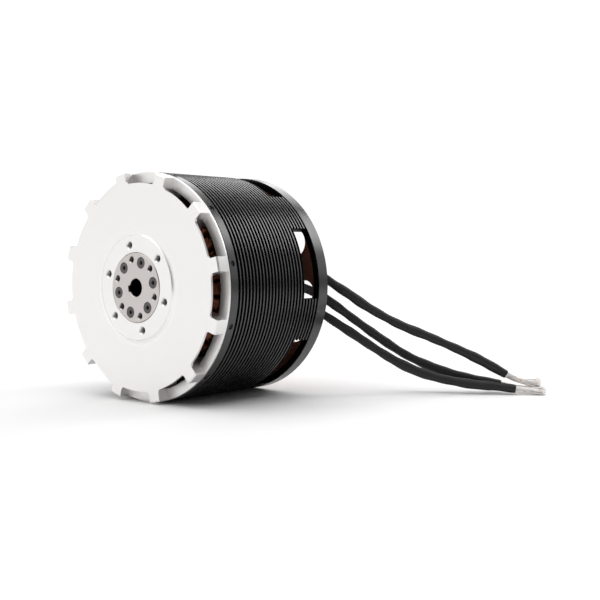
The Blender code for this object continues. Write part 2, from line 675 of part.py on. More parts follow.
def build_mount_flange(stator):
    """The motor is bolted by the back of this flange; its web shields the coils."""
    recess = 18.5 * MM
    outline = [
        (0, 105 * MM), (recess, 105 * MM), (recess, COLLAR_BACK + GAP),
        (MOUNT_RADIUS, COLLAR_BACK + GAP), (MOUNT_RADIUS, WEB_FRONT), (WEB_RADIUS, WEB_FRONT),
        (WEB_RADIUS, WEB_BACK), (MOUNT_RADIUS, WEB_BACK), (MOUNT_RADIUS, MOTOR_LENGTH - 0.6 * MM),
        (MOUNT_RADIUS - 0.6 * MM, MOTOR_LENGTH), (0, MOTOR_LENGTH),
    ]
    flange = turned("mount_flange", outline, ROTOR_SIDES, stator, "bronze_anodised")
    screw_places = on_circle(FLANGE_SCREW_CIRCLE, 6, math.radians(30))
    seats = screw_seats("flange_screw_seats", screw_places, MOTOR_LENGTH, 12 * MM, facing=-1)
    hole_places = on_circle(MOUNT_HOLE_CIRCLE, 6)
    holes = rods("mount_tapped_holes", 2.1 * MM, 102.5 * MM, 110 * MM, hole_places)
    cut(flange, seats, add_cutter("mount_tapped_holes", holes), *web_cutters())
    mesh = countersunk_mesh("flange_screw", 11.5 * MM)
    place_screws("flange_screw", mesh, screw_places, MOTOR_LENGTH, stator, facing=-1)


def along_x(name, radius, low, high, depth, heights, sides=12):
    """Rods along X at one depth, one for each height."""
    bm = bmesh.new()
    for z in heights:
        place = Matrix.Translation(((low + high) / 2, y_at(depth), z)) @ Matrix.Rotation(math.pi / 2, 4, "Y")
        bmesh.ops.create_cone(
            bm, cap_ends=True, segments=sides, radius1=radius, radius2=radius, depth=high - low,
            matrix=place,
        )
    return mesh_from(bm, name)


def build_lead_clamp(stator, lead_grooves, clamp_holes, screw_heights, depth):
    low, high = (49.3 * MM, 94 * MM, -22 * MM), (54.3 * MM, 99.5 * MM, 22 * MM)
    clamp = add_object("lead_clamp", block_mesh("lead_clamp", low, high), stator, "black_anodised")
    cut(clamp, lead_grooves, clamp_holes)
    outline = [
        (0, 0), (2.6 * MM, 0), (2.6 * MM, 2 * MM), (1.4 * MM, 2 * MM), (1.4 * MM, 10 * MM), (0, 10 * MM)
    ]
    mesh = turned_mesh("clamp_screw", local_outline(outline), 12)
    for number, z in enumerate(screw_heights, 1):
        screw = add_object(f"clamp_screw_{number}", mesh, stator, "black_oxide")
        screw.location = (high[0] + 2 * MM + GAP, y_at(depth) - stator.location.y, z)
        screw.rotation_euler.z = math.pi / 2


def build_stator(stator):
    places = [(LEAD_X, z) for z in LEAD_HEIGHTS.values()]
    grooves = rods("lead_grooves", LEAD_RADIUS + GAP, 90 * MM, 104 * MM, places, 16)
    lead_grooves = add_cutter("lead_grooves", grooves)
    clamp_depth, heights = 96.75 * MM, [18.9 * MM, -18.9 * MM]
    holes = along_x("clamp_holes", 1.7 * MM, 43 * MM, 58 * MM, clamp_depth, heights)
    clamp_holes = add_cutter("clamp_holes", holes)
    build_stator_hub(stator, lead_grooves, clamp_holes)
    build_mount_flange(stator)
    build_core(stator)
    for phase in PHASE_RINGS:
        build_winding(phase, stator)
    ring("preload_washer", 17.9 * MM, 20.6 * MM, 99 * MM, 100.2 * MM, 24, stator, "ground_steel")
    build_lead_clamp(stator, lead_grooves, clamp_holes, heights, clamp_depth)


# --- Leads --------------------------------------------------------------------


def smooth_points(route, spacing):
    """Points about this far apart along a Catmull-Rom curve through the route."""
    knots = [(x * MM, y_at(depth * MM), z * MM) for x, depth, z in route]
    first = [2 * a - b for a, b in zip(knots[0], knots[1])]
    last = [2 * a - b for a, b in zip(knots[-1], knots[-2])]
    knots = [first, *knots, last]
    fine = []
    for p, q, r, s in zip(knots, knots[1:], knots[2:], knots[3:]):
        for step in range(20):
            t = step / 20
            fine.append([
                0.5 * (2 * b + (c - a) * t + (2 * a - 5 * b + 4 * c - d) * t**2
                       + (3 * b - a - 3 * c + d) * t**3)
                for a, b, c, d in zip(p, q, r, s)
            ])
    fine.append(knots[-2])
    travelled = [0.0]
    for a, b in zip(fine, fine[1:]):
        travelled.append(travelled[-1] + math.dist(a, b))
    count = max(2, round(travelled[-1] / spacing))
    picked = []
    for k in range(count + 1):
        target = travelled[-1] * k / count
        index = min(range(len(fine)), key=lambda i: abs(travelled[i] - target))
        picked.append(fine[index])
    return picked


def build_tube(name, route, radius, spacing, parent, finish):
    """A round cord along a route, as a curve with closed ends."""
    curve = bpy.data.curves.new(name, "CURVE")
    curve.dimensions = "3D"
    curve.bevel_depth = radius
    curve.bevel_resolution = 2
    curve.use_fill_caps = True
    points = smooth_points(route, spacing)
    spline = curve.splines.new("POLY")
    spline.points.add(len(points) - 1)
    for point, place in zip(spline.points, points):
        point.co = (*place, 1)
    curve.materials.append(finish_of(finish))
    tube = bpy.data.objects.new(name, curve)
    bpy.context.scene.collection.objects.link(tube)
    tube.parent = parent


def build_leads(stator):
    for phase, route in LEAD_ROUTES.items():
        build_tube(f"lead_{phase}", route, LEAD_RADIUS, 6 * MM, stator, "braided_sleeve")
        strands = STRAND_ROUTES[phase]
        build_tube(f"lead_end_{phase}", strands, STRAND_RADIUS, 7 * MM, stator, "tinned_copper")


def main():
    clear_scene()
    stator = add_empty("stator_axis")
    rotor = add_empty("rotor_axis")
    build_rotor(rotor)
    build_stator(stator)
    for place, centre in BEARING_CENTRES.items():
        ball_axis = add_empty(f"{place}_ball_axis", centre)
        build_bearing(place, rotor, stator, ball_axis)
    build_leads(stator)


main()
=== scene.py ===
"""The looks of a 150 mm brushless outrunner motor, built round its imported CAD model.

The motor lies on its barrel with the silver cap towards -Y. Its axis is the Y axis, so a
place on it is given as a radius, an angle from +X towards +Z, and a depth behind the cap's
front face. Pieces ride on the rotor or the stator, so the barrel turns round the windings.
"""

import json
import math
import random

import bmesh
import bpy
from mathutils import Matrix, Vector


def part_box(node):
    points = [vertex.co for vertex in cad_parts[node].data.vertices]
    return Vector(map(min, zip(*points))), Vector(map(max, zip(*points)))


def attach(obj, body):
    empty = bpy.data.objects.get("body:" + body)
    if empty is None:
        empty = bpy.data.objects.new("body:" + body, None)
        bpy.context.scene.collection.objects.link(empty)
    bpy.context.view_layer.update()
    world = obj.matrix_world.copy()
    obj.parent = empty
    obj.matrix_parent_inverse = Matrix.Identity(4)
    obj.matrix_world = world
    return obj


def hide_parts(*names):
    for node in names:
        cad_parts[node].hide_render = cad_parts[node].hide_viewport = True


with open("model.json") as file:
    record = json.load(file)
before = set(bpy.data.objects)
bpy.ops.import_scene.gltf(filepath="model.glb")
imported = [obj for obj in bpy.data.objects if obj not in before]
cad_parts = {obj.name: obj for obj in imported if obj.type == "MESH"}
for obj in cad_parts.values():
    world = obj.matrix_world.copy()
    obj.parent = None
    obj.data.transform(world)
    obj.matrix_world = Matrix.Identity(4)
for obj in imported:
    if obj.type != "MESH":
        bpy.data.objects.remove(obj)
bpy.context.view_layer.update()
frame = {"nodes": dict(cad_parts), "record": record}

MM = 0.001

# The motor lies on the cap's rim and the barrel, so the cap's lowest place is the floor.
FLOOR_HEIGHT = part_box("front_cap")[0].z
MOTOR_LENGTH = 108 * MM
ROTOR_RADIUS = 75 * MM
SPIGOT_RADIUS = 70.1 * MM
TAPPED_RADIUS = 2.1 * MM
THREAD_PITCH = 0.8 * MM

# Cap. A pair of values is the radius of a hole circle and the angle of its first hole.
SPOKES = 12
FIRST_SPOKE = math.radians(12.4)
SPOKE_WIDTH = 9.2 * MM
DISC_RADIUS = 67.5 * MM
EDGE_THICKNESS = 1.5 * MM
RIB_BACK = 10.8 * MM
RIM_FRONT = 7.9 * MM
RIM_BACK = 9.4 * MM
RIM_INNER = 67.5 * MM
SPIGOT_BACK = 10.6 * MM
SPOKE_CHAMFER = 0.8 * MM
WINDOW_CORNER = 2.5 * MM
BOSS_RADIUS = 34 * MM
BOSS_FACE = -1.2 * MM
BOSS_FILLET = 5.14 * MM
CAP_SIDES = 240

# Hub and shaft.
HUB_RADIUS = 22.6 * MM
HUB_FACE = -1.35 * MM
HUB_BACK = 4.5 * MM
HUB_SEAT = 4.8 * MM
SHAFT_RADIUS = 10 * MM
SHAFT_END = 103 * MM
BORE_RADIUS = 5.9 * MM
BORE_DEPTH = 45 * MM
HUB_SIDES = 180
HUB_SCREWS = (16.9 * MM, math.radians(12))
HUB_TAPPED = (18.6 * MM, math.radians(42.3))
BOSS_TAPPED = (28.1 * MM, math.radians(42.3))
GRUB_DEPTH = 12.9 * MM
KEYWAY_WIDTH = 4.2 * MM
KEYWAY_DEPTH = 1.3 * MM
KEYWAY_TURN = math.radians(7)

# Barrel. Its smooth front band ends where the grooves begin.
BARREL_SIDES = 288
BARREL_FRONT = 9.7 * MM
BAND_BACK = 16 * MM
BARREL_END = 104 * MM
BARREL_INNER = 70.4 * MM
REAR_RING_INNER = 70.8 * MM
WINDOW_FRONT = 79.1 * MM
WINDOW_BACK = 94.1 * MM
WINDOW_SPAN = math.radians(37.5)
GROOVES = 26
FIRST_GROOVE = 17.1 * MM
GROOVE_PITCH = 3.045 * MM
GROOVE_WIDTH = 1.9 * MM
GROOVE_DEPTH = 2 * MM

MAGNETS = 42
MAGNET_FRONT = 19 * MM
MAGNET_BACK = 77 * MM

# Stator.
CORE_FRONT = 20 * MM
CORE_BACK = 76 * MM
TEETH = 36
PHASE_PATTERN = "uuvvwwuuvvww"
PHASE_RINGS = {"u": 52 * MM, "v": 55.4 * MM, "w": 58.8 * MM}
TAIL_TURNS = {"u": 0.16, "v": 0.1, "w": -0.16}
LEAD_X = 49 * MM
LEAD_HEIGHTS = {"u": 12.5 * MM, "v": -1 * MM, "w": -11.5 * MM}

# Mounting flange: a thick middle and a thin web with round holes.
MOUNT_RADIUS = 36 * MM
WEB_RADIUS = 69.5 * MM
WEB_FRONT = 100.9 * MM
WEB_BACK = 103.4 * MM
WEB_HOLES = (55.5 * MM, math.radians(32), math.radians(59.2))
FLANGE_SEAT = 100.6 * MM
FLANGE_SCREWS = (28.5 * MM, math.radians(30))
MOUNT_HOLES = (30 * MM, 0.0)

# Leads, as (x, depth, z) in millimetres.
LEAD_DIAMETER = 6.4 * MM
STRANDS = 90
LEAD_ROUTES = {
    "u": [
        (49, 92, 12.5), (49, 99.5, 12.5), (49.6, 105.5, 12), (51.5, 111.5, 10.4),
        (54.6, 117, 7.7), (58.8, 121.9, 4), (64.5, 126.6, -1), (72, 132, -7), (83, 139.2, -15.9),
        (100, 151.2, -27.3), (118, 164, -36.4), (135, 176.2, -45.5),
        (147, 185.2, -52.8), (160.5, 194.9, -62),
    ],
    "v": [
        (49, 92, -1), (49, 99.5, -1), (49.6, 105.5, -1.6), (51.5, 111.5, -3.4),
        (54.7, 117.2, -6.4), (59.2, 122.6, -10.6), (65.4, 128.6, -16.6), (73.7, 136, -24.9),
        (88.5, 147.8, -38.5), (103.4, 159.6, -50.5), (121.7, 173.8, -60.4),
        (138, 185.8, -65.6), (155, 197, -69.6),
    ],
    "w": [
        (49, 92, -11.5), (49, 99.5, -11.5), (49.6, 105.2, -12.3), (51.6, 110.8, -14.5),
        (54.9, 116, -17.8), (59.6, 120.8, -21.9), (66.6, 126, -27.6), (76.5, 132.4, -35.2),
        (89.5, 140.6, -45.2), (102, 148.6, -54), (114, 156.6, -60.4), (126, 164.4, -64.6),
        (143.7, 175.9, -68.2), (157, 184.5, -69.4), (169.4, 192.2, -71),
    ],
}
STRAND_ROUTES = {
    "u": [(160.9, 195.2, -62.3), (167, 198.9, -65.3), (174, 202.8, -67), (182, 207, -67.8)],
    "v": [(155.5, 197.3, -69.7), (164, 202, -71.2), (172, 206.2, -71.8), (180, 211, -72)],
    "w": [(169.9, 192.5, -71.1), (176, 196.4, -71.8), (181, 199.8, -72), (187, 203.6, -72.1)],
}


def y_at(depth):
    return depth - MOTOR_LENGTH


# --- Materials ----------------------------------------------------------------


class Nodes:
    """The node tree of a material or a world, with the node that the others lead to."""

    def __init__(self, owner, last):
        owner.use_nodes = True
        self.tree = owner.node_tree
        self.last = self.tree.nodes[last]

    def feed(self, target, source):
        """Links a socket to an input, or gives the input a plain value."""
        if isinstance(source, bpy.types.NodeSocket):
            self.tree.links.new(source, target)
        else:
            target.default_value = source

    def give(self, name, source):
        self.feed(self.last.inputs[name], source)

    def add(self, kind, inputs=None, **settings):
        """A new node with these settings and inputs."""
        node = self.tree.nodes.new(kind)
        for key, value in settings.items():
            setattr(node, key, value)
        for key, source in (inputs or {}).items():
            self.feed(node.inputs[key], source)
        return node


class Shader(Nodes):
    """A Principled material with a few helpers for its textures."""

    def __init__(self, name, colour, metallic, roughness, **inputs):
        self.material = bpy.data.materials.new(name)
        super().__init__(self.material, "Principled BSDF")
        basics = {"Base Color": (*colour, 1), "Metallic": metallic, "Roughness": roughness}
        for key, value in {**basics, **inputs}.items():
            self.give(key.replace("_", " "), value)
        # Object coordinates are metres in the motor's frame.
        self.place = self.add("ShaderNodeTexCoord").outputs["Object"]
        self.xyz = self.add("ShaderNodeSeparateXYZ", {0: self.place}).outputs
        self.normal = None

    def maths(self, operation, first, second):
        return self.add("ShaderNodeMath", {0: first, 1: second}, operation=operation).outputs[0]

    def noise(self, scale, detail=3, roughness=0.55, vector=None):
        inputs = {"Scale": scale, "Detail": detail, "Roughness": roughness}
        inputs["Vector"] = vector or self.place
        return self.add("ShaderNodeTexNoise", inputs).outputs["Fac"]

    def radius(self):
        """Distance from the motor's axis, in metres."""
        flat = self.add("ShaderNodeVectorMath", {0: self.place, 1: (1, 0, 1)}, operation="MULTIPLY")
        length = self.add("ShaderNodeVectorMath", {0: flat.outputs[0]}, operation="LENGTH")
        return length.outputs["Value"]

    def turning_marks(self, scale, along):
        """Fine marks round the axis: noise on the radius, the depth and a little of the angle."""
        angle = self.maths("ARCTAN2", self.xyz["Z"], self.xyz["X"])
        inputs = {"X": self.radius(), "Y": self.xyz["Y"], "Z": self.maths("MULTIPLY", angle, along)}
        join = self.add("ShaderNodeCombineXYZ", inputs)
        return self.noise(scale, 2, 0.6, join.outputs[0])

    def scaled(self, value, low, high, from_low=0.0, from_high=1.0):
        """A value taken from one range to another, and held inside it."""
        ends = {"From Min": from_low, "From Max": from_high, "To Min": low, "To Max": high}
        return self.add("ShaderNodeMapRange", {"Value": value, **ends}).outputs["Result"]

    def depth(self, shallow, deep, low, high):
        """A value that runs from one number to another between two depths behind the cap's face."""
        return self.scaled(self.xyz["Y"], low, high, y_at(shallow), y_at(deep))

    def mixed(self, factor, first, second):
        """A colour between two, by a factor."""
        inputs = {"Factor": factor, "A": (*first, 1), "B": (*second, 1)}
        return self.add("ShaderNodeMix", inputs, data_type="RGBA").outputs["Result"]

    def darkened(self, factor, source):
        """A colour times a factor."""
        inputs = {"Factor": 1, "A": source, "B": factor}
        node = self.add("ShaderNodeMix", inputs, data_type="RGBA", blend_type="MULTIPLY")
        return node.outputs["Result"]

    def tint(self, factor, first, second):
        """Colours the surface between two, by a factor."""
        self.give("Base Color", self.mixed(factor, first, second))

    def mottle(self, scale, detail, low, high):
        """A roughness that wanders between two values."""
        self.give("Roughness", self.scaled(self.noise(scale, detail), low, high))

    def bump(self, height, strength, distance):
        inputs = {"Strength": strength, "Distance": distance, "Height": height}
        if self.normal:
            inputs["Normal"] = self.normal
        self.bend_normal(self.add("ShaderNodeBump", inputs))

    def soft_edges(self, radius):
        """Rounds the shading of sharp edges, as a deburred edge looks."""
        self.bend_normal(self.add("ShaderNodeBevel", {"Radius": radius}, samples=4))

    def bend_normal(self, node):
        self.normal = node.outputs["Normal"]
        self.give("Normal", self.normal)


def satin_aluminium():
    """Clear-anodised cap: fine turning rings and a soft mottle, a brighter-cut fillet round its
    boss, and painted shade that darkens it down its tapped holes."""
    s = Shader("satin_aluminium", (0.86, 0.85, 0.84), 1.0, 0.4)
    s.soft_edges(0.15 * MM)
    rings = s.turning_marks(9000, 0.002)
    s.bump(rings, 0.1, 0.02 * MM)
    s.bump(s.noise(4000, 2), 0.06, 0.02 * MM)
    radius = s.radius()
    past_boss = s.scaled(radius, 0.0, 1.0, BOSS_RADIUS - 0.4 * MM, BOSS_RADIUS - 0.2 * MM)
    before_disc = s.scaled(radius, 1.0, 0.0, BOSS_RADIUS + 3 * MM, BOSS_RADIUS + 4.5 * MM)
    polish = s.scaled(s.maths("MULTIPLY", past_boss, before_disc), 1.0, 0.6)
    s.give("Roughness", s.maths("MULTIPLY", s.scaled(s.noise(60, 4), 0.36, 0.48), polish))
    colour = s.mixed(s.scaled(rings, 0.2, 0.8), (0.83, 0.815, 0.805), (0.9, 0.885, 0.875))
    # Painted shade: inside the boss the base colour darkens to a tenth with depth behind its face.
    near_boss = s.scaled(radius, 1.0, 0.0, BOSS_RADIUS - MM, BOSS_RADIUS - 0.5 * MM)
    deep = s.depth(BOSS_FACE + 0.1 * MM, 2.5 * MM, 0.0, 1.0)
    shade = s.scaled(s.maths("MULTIPLY", near_boss, deep), 1.0, 0.1)
    s.give("Base Color", s.darkened(shade, colour))
    return s.material


def black_anodised():
    """Satin black; the grooves' floors reflect far less, a painted shade for how little light
    reaches down them.
    """
    s = Shader("black_anodised", (0.002, 0.002, 0.0025), 0.0, 0.3, IOR=1.62)
    s.bump(s.turning_marks(5000, 0.004), 0.03, 0.02 * MM)
    s.mottle(90, 4, 0.22, 0.34)
    s.tint(s.noise(400, 3), (0.001, 0.001, 0.0012), (0.0025, 0.0025, 0.003))
    # Painted shade: the specular level falls from 0.62 on the lands to 0.06 on the groove floors.
    groove_painted_shade = s.scaled(s.radius(), 0.06, 0.62, ROTOR_RADIUS - 1.4 * MM, ROTOR_RADIUS - 0.3 * MM)
    s.give("Specular IOR Level", groove_painted_shade)
    return s.material


def ground_steel():
    """A fine-ground face; painted shade darkens the bore and the threads, the deeper the darker."""
    s = Shader("ground_steel", (0.58, 0.55, 0.54), 1.0, 0.3)
    s.soft_edges(0.12 * MM)
    rings = s.turning_marks(7000, 0.003)
    s.bump(rings, 0.2, 0.02 * MM)
    s.mottle(150, 3, 0.24, 0.4)
    colour = s.mixed(rings, (0.5, 0.465, 0.45), (0.64, 0.605, 0.59))
    # Painted shade: the base colour falls to 4% between just behind the hub's face and 1.2 mm deep.
    shade = s.depth(HUB_FACE + 0.2 * MM, 1.2 * MM, 1.0, 0.04)
    s.give("Base Color", s.darkened(shade, colour))
    return s.material


def lamination_steel():
    """Stacked laminations, 0.35 mm each, under a dark varnish."""
    s = Shader("lamination_steel", (0.1, 0.1, 0.11), 0.7, 0.4)
    inputs = {"Scale": 450, "Vector": s.place}
    layers = s.add("ShaderNodeTexWave", inputs, bands_direction="Y").outputs["Fac"]
    s.bump(layers, 0.5, 0.06 * MM)
    s.tint(layers, (0.05, 0.05, 0.055), (0.16, 0.16, 0.17))
    return s.material


def tinned_copper():
    """Tin with small bare patches, where the copper shows."""
    s = Shader("tinned_copper", (0.9, 0.88, 0.86), 0.75, 0.4)
    patches = s.scaled(s.noise(700, 3), 0, 1, 0.6, 0.68)
    s.tint(patches, (0.92, 0.9, 0.88), (0.8, 0.5, 0.34))
    s.bump(s.noise(2500, 3), 0.2, 0.05 * MM)
    return s.material


def floor_paper():
    """White paper, lit from within towards its edges, as a studio sweep fades to white."""
    s = Shader("floor_paper", (0.94, 0.94, 0.94), 0.0, 0.75, Emission_Color=(1, 1, 1, 1))
    distance = s.add("ShaderNodeVectorMath", {0: s.place}, operation="LENGTH").outputs["Value"]
    s.give("Emission Strength", s.scaled(distance, 0.0, 1.05, 0.35, 0.8))
    paper = s.mixed(s.noise(30, 4), (0.93, 0.93, 0.93), (0.95, 0.95, 0.95))
    s.give("Base Color", s.darkened(s.scaled(distance, 1.0, 0.0, 0.35, 0.8), paper))
    return s.material


MATERIALS = {
    make.__name__: make()
    for make in (
        satin_aluminium, black_anodised, ground_steel, lamination_steel, tinned_copper, floor_paper,
    )
}


def add_plain(name, *basics, edges=0, tint=(), mottle=(), marks=(), grain=(), **inputs):
    """Adds a material of the usual layers, each given by the numbers of its Shader helper."""
    s = Shader(name, *basics, **inputs)
    if edges:
        s.soft_edges(edges)
    if tint:
        s.tint(s.noise(*tint[:2]), *tint[2:])
    if mottle:
        s.mottle(*mottle)
    if marks:
        s.bump(s.turning_marks(*marks[:2]), marks[2], 0.02 * MM)
    if grain:
        s.bump(s.noise(*grain[:2]), grain[2], grain[3])
    MATERIALS[name] = s.material


add_plain(
    "black_oxide", (0.1, 0.095, 0.095), 0.85, 0.35, edges=0.1 * MM,
    tint=(600, 3, (0.07, 0.066, 0.066), (0.14, 0.13, 0.13)), mottle=(700, 3, 0.25, 0.5),
    grain=(3000, 2, 0.1, 0.03 * MM),
)
add_plain(
    "magnet_nickel", (0.5, 0.49, 0.47), 1.0, 0.28, mottle=(300, 3, 0.2, 0.45),
    grain=(1200, 2, 0.1, 0.05 * MM),
)
add_plain(
    "flux_steel", (0.08, 0.08, 0.085), 0.8, 0.42, mottle=(200, 3, 0.35, 0.55),
    grain=(900, 2, 0.1, 0.05 * MM),
)
add_plain(
    "enamelled_copper", (0.42, 0.13, 0.06), 0.85, 0.3, Coat_Weight=0.6, Coat_Roughness=0.12,
    tint=(250, 3, (0.26, 0.07, 0.035), (0.56, 0.2, 0.09)), grain=(2500, 2, 0.08, 0.03 * MM),
)
add_plain(
    "bearing_steel", (0.62, 0.62, 0.63), 1.0, 0.16, mottle=(500, 2, 0.1, 0.24),
    marks=(8000, 0.002, 0.06),
)
# Dark hard-anodised aluminium, which has a brown cast and mirrors the copper near it.
add_plain(
    "hub_aluminium", (0.07, 0.05, 0.045), 0.9, 0.25, edges=0.2 * MM,
    tint=(60, 4, (0.06, 0.043, 0.038), (0.13, 0.085, 0.07)), mottle=(120, 3, 0.2, 0.36),
    marks=(5000, 0.004, 0.12),
)
add_plain(
    "bronze_anodised", (0.3, 0.13, 0.09), 0.45, 0.4, edges=0.2 * MM,
    tint=(60, 4, (0.25, 0.108, 0.076), (0.34, 0.15, 0.105)), mottle=(120, 3, 0.3, 0.46),
    marks=(5000, 0.004, 0.12),
)
add_plain(
    "braided_sleeve", (0.01, 0.01, 0.011), 0.0, 0.55, grain=(3000, 2, 0.25, 0.05 * MM),
    tint=(500, 3, (0.002, 0.002, 0.0025), (0.006, 0.006, 0.007)),
)


def finish_cad_nodes():
    """Gives each CAD node that is still shown the material of its slot in the record."""
    for row in frame["record"]["subparts"]:
        node = frame["nodes"][row["node"]]
        node.data.materials.clear()
        node.data.materials.append(MATERIALS[row["material_slot"]])


# --- Camera, light and floor --------------------------------------------------


def build_camera():
    """The view from the right, just above the axis, as a 62 mm lens sees it."""
    azimuth, elevation = 40.13, 2.82
    data = bpy.data.cameras.new("camera")
    data.sensor_width = 36
    data.lens = 62.12
    camera = bpy.data.objects.new("camera", data)
    camera.location = (511.85 * MM, -551.8 * MM, 24.96 * MM)
    camera.rotation_euler = (math.radians(90 - elevation), 0, math.radians(azimuth))
    bpy.context.scene.collection.objects.link(camera)
    bpy.context.scene.camera = camera


def add_softbox(name, place, target, size, power):
    data = bpy.data.lights.new(name, "AREA")
    data.shape = "RECTANGLE"
    data.size, data.size_y = size
    data.energy = power
    light = bpy.data.objects.new(name, data)
    light.location = place
    aim = Vector(target) - Vector(place)
    light.rotation_euler = aim.to_track_quat("-Z", "Y").to_euler()
    bpy.context.scene.collection.objects.link(light)


def build_studio():
    bm = bmesh.new()
    bmesh.ops.create_grid(bm, x_segments=1, y_segments=1, size=1.1)
    mesh = bpy.data.meshes.new("floor")
    bm.to_mesh(mesh)
    bm.free()
    mesh.materials.append(MATERIALS["floor_paper"])
    floor = bpy.data.objects.new("floor", mesh)
    floor.location.z = FLOOR_HEIGHT
    bpy.context.scene.collection.objects.link(floor)

    build_world()
    bpy.context.scene.view_settings.view_transform = "Standard"
    add_softbox("right_softbox", (0.64, 1.45, 1.07), (0, 0, 0), (0.85, 0.75), 8)
    add_softbox("low_right_panel", (1.15, 1.4, 0.42), (0, 0, 0), (0.9, 0.55), 1.5)
    add_softbox("left_softbox", (-0.72, 1.5, 1.04), (0, 0, 0), (1.1, 0.75), 8)
    add_softbox("ceiling", (0, -0.2, 2), (0, -0.2, 0), (3, 3), 40)


def build_world():
    """White behind the motor; round it, a pale front and a dimmer back for its metal to mirror."""
    world = bpy.context.scene.world = bpy.data.worlds.new("studio")
    sky = Nodes(world, "Background")
    towards = {0: sky.add("ShaderNodeTexCoord").outputs["Generated"], 1: (-0.8, -0.55, 0.2)}
    facing = sky.add("ShaderNodeVectorMath", towards, operation="DOT_PRODUCT").outputs["Value"]
    ends = {"From Min": 0, "From Max": 0.85, "To Min": 0.12, "To Max": 1.02, "Value": facing}
    level = sky.add("ShaderNodeMapRange", ends, interpolation_type="SMOOTHSTEP").outputs["Result"]
    seen = sky.add("ShaderNodeLightPath").outputs["Is Camera Ray"]
    strength = sky.add("ShaderNodeMix", {"Factor": seen, "A": level, "B": 1.05})
    sky.give("Strength", strength.outputs["Result"])
    sky.give("Color", (1, 1, 1, 1))


# --- Leads --------------------------------------------------------------------


def smooth_line(route, steps):
    """Points along a smooth curve through a route of (x, depth, z) in millimetres."""
    return spline([Vector((x * MM, y_at(depth * MM), z * MM)) for x, depth, z in route], steps)


def even_line(line, spacing):
    """The same line with points an even distance apart."""
    travelled = [0.0]
    for a, b in zip(line, line[1:]):
        travelled.append(travelled[-1] + (b - a).length)
    count = round(travelled[-1] / spacing)
    points, index = [], 0
    for k in range(count + 1):
        target = travelled[-1] * k / count
        while index < len(line) - 2 and travelled[index + 1] < target:
            index += 1
        step = (target - travelled[index]) / (travelled[index + 1] - travelled[index])
        points.append(line[index].lerp(line[index + 1], min(max(step, 0), 1)))
    return points


def line_frames(line):
    """Two directions across the line at each point, which never twist round it."""
    side, frames = None, []
    for k in range(len(line)):
        ahead = (line[min(k + 1, len(line) - 1)] - line[max(k - 1, 0)]).normalized()
        side = side or ahead.cross(Vector((0, 0, 1))).normalized()
        side = (side - ahead * side.dot(ahead)).normalized()
        frames.append((side, ahead.cross(side)))
    return frames


def yarn_height(first, second):
    """How far the braid stands up where two crossing yarns have these phases, from 0 to 1."""
    over = math.cos(first / 2) * math.cos(second / 2) > 0
    one = abs(math.sin(first / 2))
    other = abs(math.sin(second / 2))
    return max(one, 0.75 * other) if over else max(0.75 * one, other)


def above_floor(point, height):
    """The point, or the one straight above it that stands this high over the floor."""
    return Vector((point.x, point.y, max(point.z, FLOOR_HEIGHT + height)))


def braid_mesh(name, line, phase):
    """A braided tube: yarns wound both ways, over and under each other, a little lumpy."""
    around_count, yarns, spacing, lay, yarn = 64, 9, 0.4 * MM, 2.1 * MM, 0.42 * MM
    line = even_line(line, spacing)
    sleeve = Shape()
    loops = []
    for k, (place, (side, other)) in enumerate(zip(line, line_frames(line))):
        along = 2 * math.pi * k * spacing / lay
        lumps = 0.13 * MM * math.sin(k * 0.17 + phase) + 0.19 * MM * math.sin(k * 0.053 + 2 * phase)
        end = min(k, len(line) - 1 - k)
        pinch = 0.35 * MM * max(0, 1 - end / 5) ** 2
        start = len(sleeve.verts)
        for angle in around(around_count):
            lean = yarns * angle
            height = yarn_height(lean + along, lean - along)
            squash = 1 + 0.03 * math.cos(2 * angle + k * 0.02 + phase)
            radius = (LEAD_DIAMETER / 2 - yarn + yarn * height + lumps) * squash - pinch
            outward = side * math.cos(angle) + other * math.sin(angle)
            sleeve.verts.append(above_floor(place + outward * radius, 0))
        loops.append(list(range(start, start + around_count)))
    sleeve.pipe(loops)
    return sleeve.mesh(name, 180), line


def build_leads():
    for number, (phase, route) in enumerate(LEAD_ROUTES.items()):
        name = f"lead_{phase}_sleeve"
        mesh, line = braid_mesh(name, smooth_line(route, 12), number * 1.7)
        lead = add_piece(name, mesh, "braided_sleeve", "stator", [f"lead_{phase}"])
        strands = build_strands(phase)


def build_strands(phase):
    """The bare end of a lead: ninety fine tinned wires, twisted, that fray at the tip."""
    line = smooth_line([LEAD_ROUTES[phase][-1], *STRAND_ROUTES[phase]], 8)
    frames = line_frames(line)
    stray = random.Random(phase)
    bundle = Shape()
    count = len(line)
    golden_angle = 2.39996
    for strand in range(STRANDS):
        spread = math.sqrt((strand + 0.5) / STRANDS) * 2.5 * MM
        start = strand * golden_angle
        cut_back = stray.uniform(0, 0.16) * count
        fray_side, fray_other = stray.gauss(0, 0.65), stray.gauss(0, 0.4)
        points = []
        for k, (place, (side, other)) in enumerate(zip(line, frames)):
            if k > count - 1 - cut_back:
                break
            t = k / (count - 1)
            lean = start + 2.2 * t + 0.2 * math.sin(6 * t + strand)
            radius = spread * (1 - 0.2 * math.sin(math.pi * t))
            loose = max(0, t - 0.4) ** 2 * 9 * MM
            across = radius * math.cos(lean) + fray_side * loose
            up = radius * math.sin(lean) * 0.9 + fray_other * loose
            points.append(above_floor(place + side * across + other * up, 0.25 * MM))
        bundle.tube(points, 0.23 * MM, 6)
    name = f"lead_end_{phase}_strands"
    return add_piece(name, bundle.mesh(name, 60), "tinned_copper", "stator", [f"lead_end_{phase}"])


# --- Mesh tools ---------------------------------------------------------------


def polar(radius, angle):
    """(x, z) of a place on a circle round the axis."""
    return radius * math.cos(angle), radius * math.sin(angle)


def arc(centre, radius, start, end, steps):
    """Points on a circle in any plane's two coordinates, angles in degrees."""
    angles = [math.radians(start + (end - start) * k / steps) for k in range(steps + 1)]
    return [(centre[0] + radius * math.cos(a), centre[1] + radius * math.sin(a)) for a in angles]


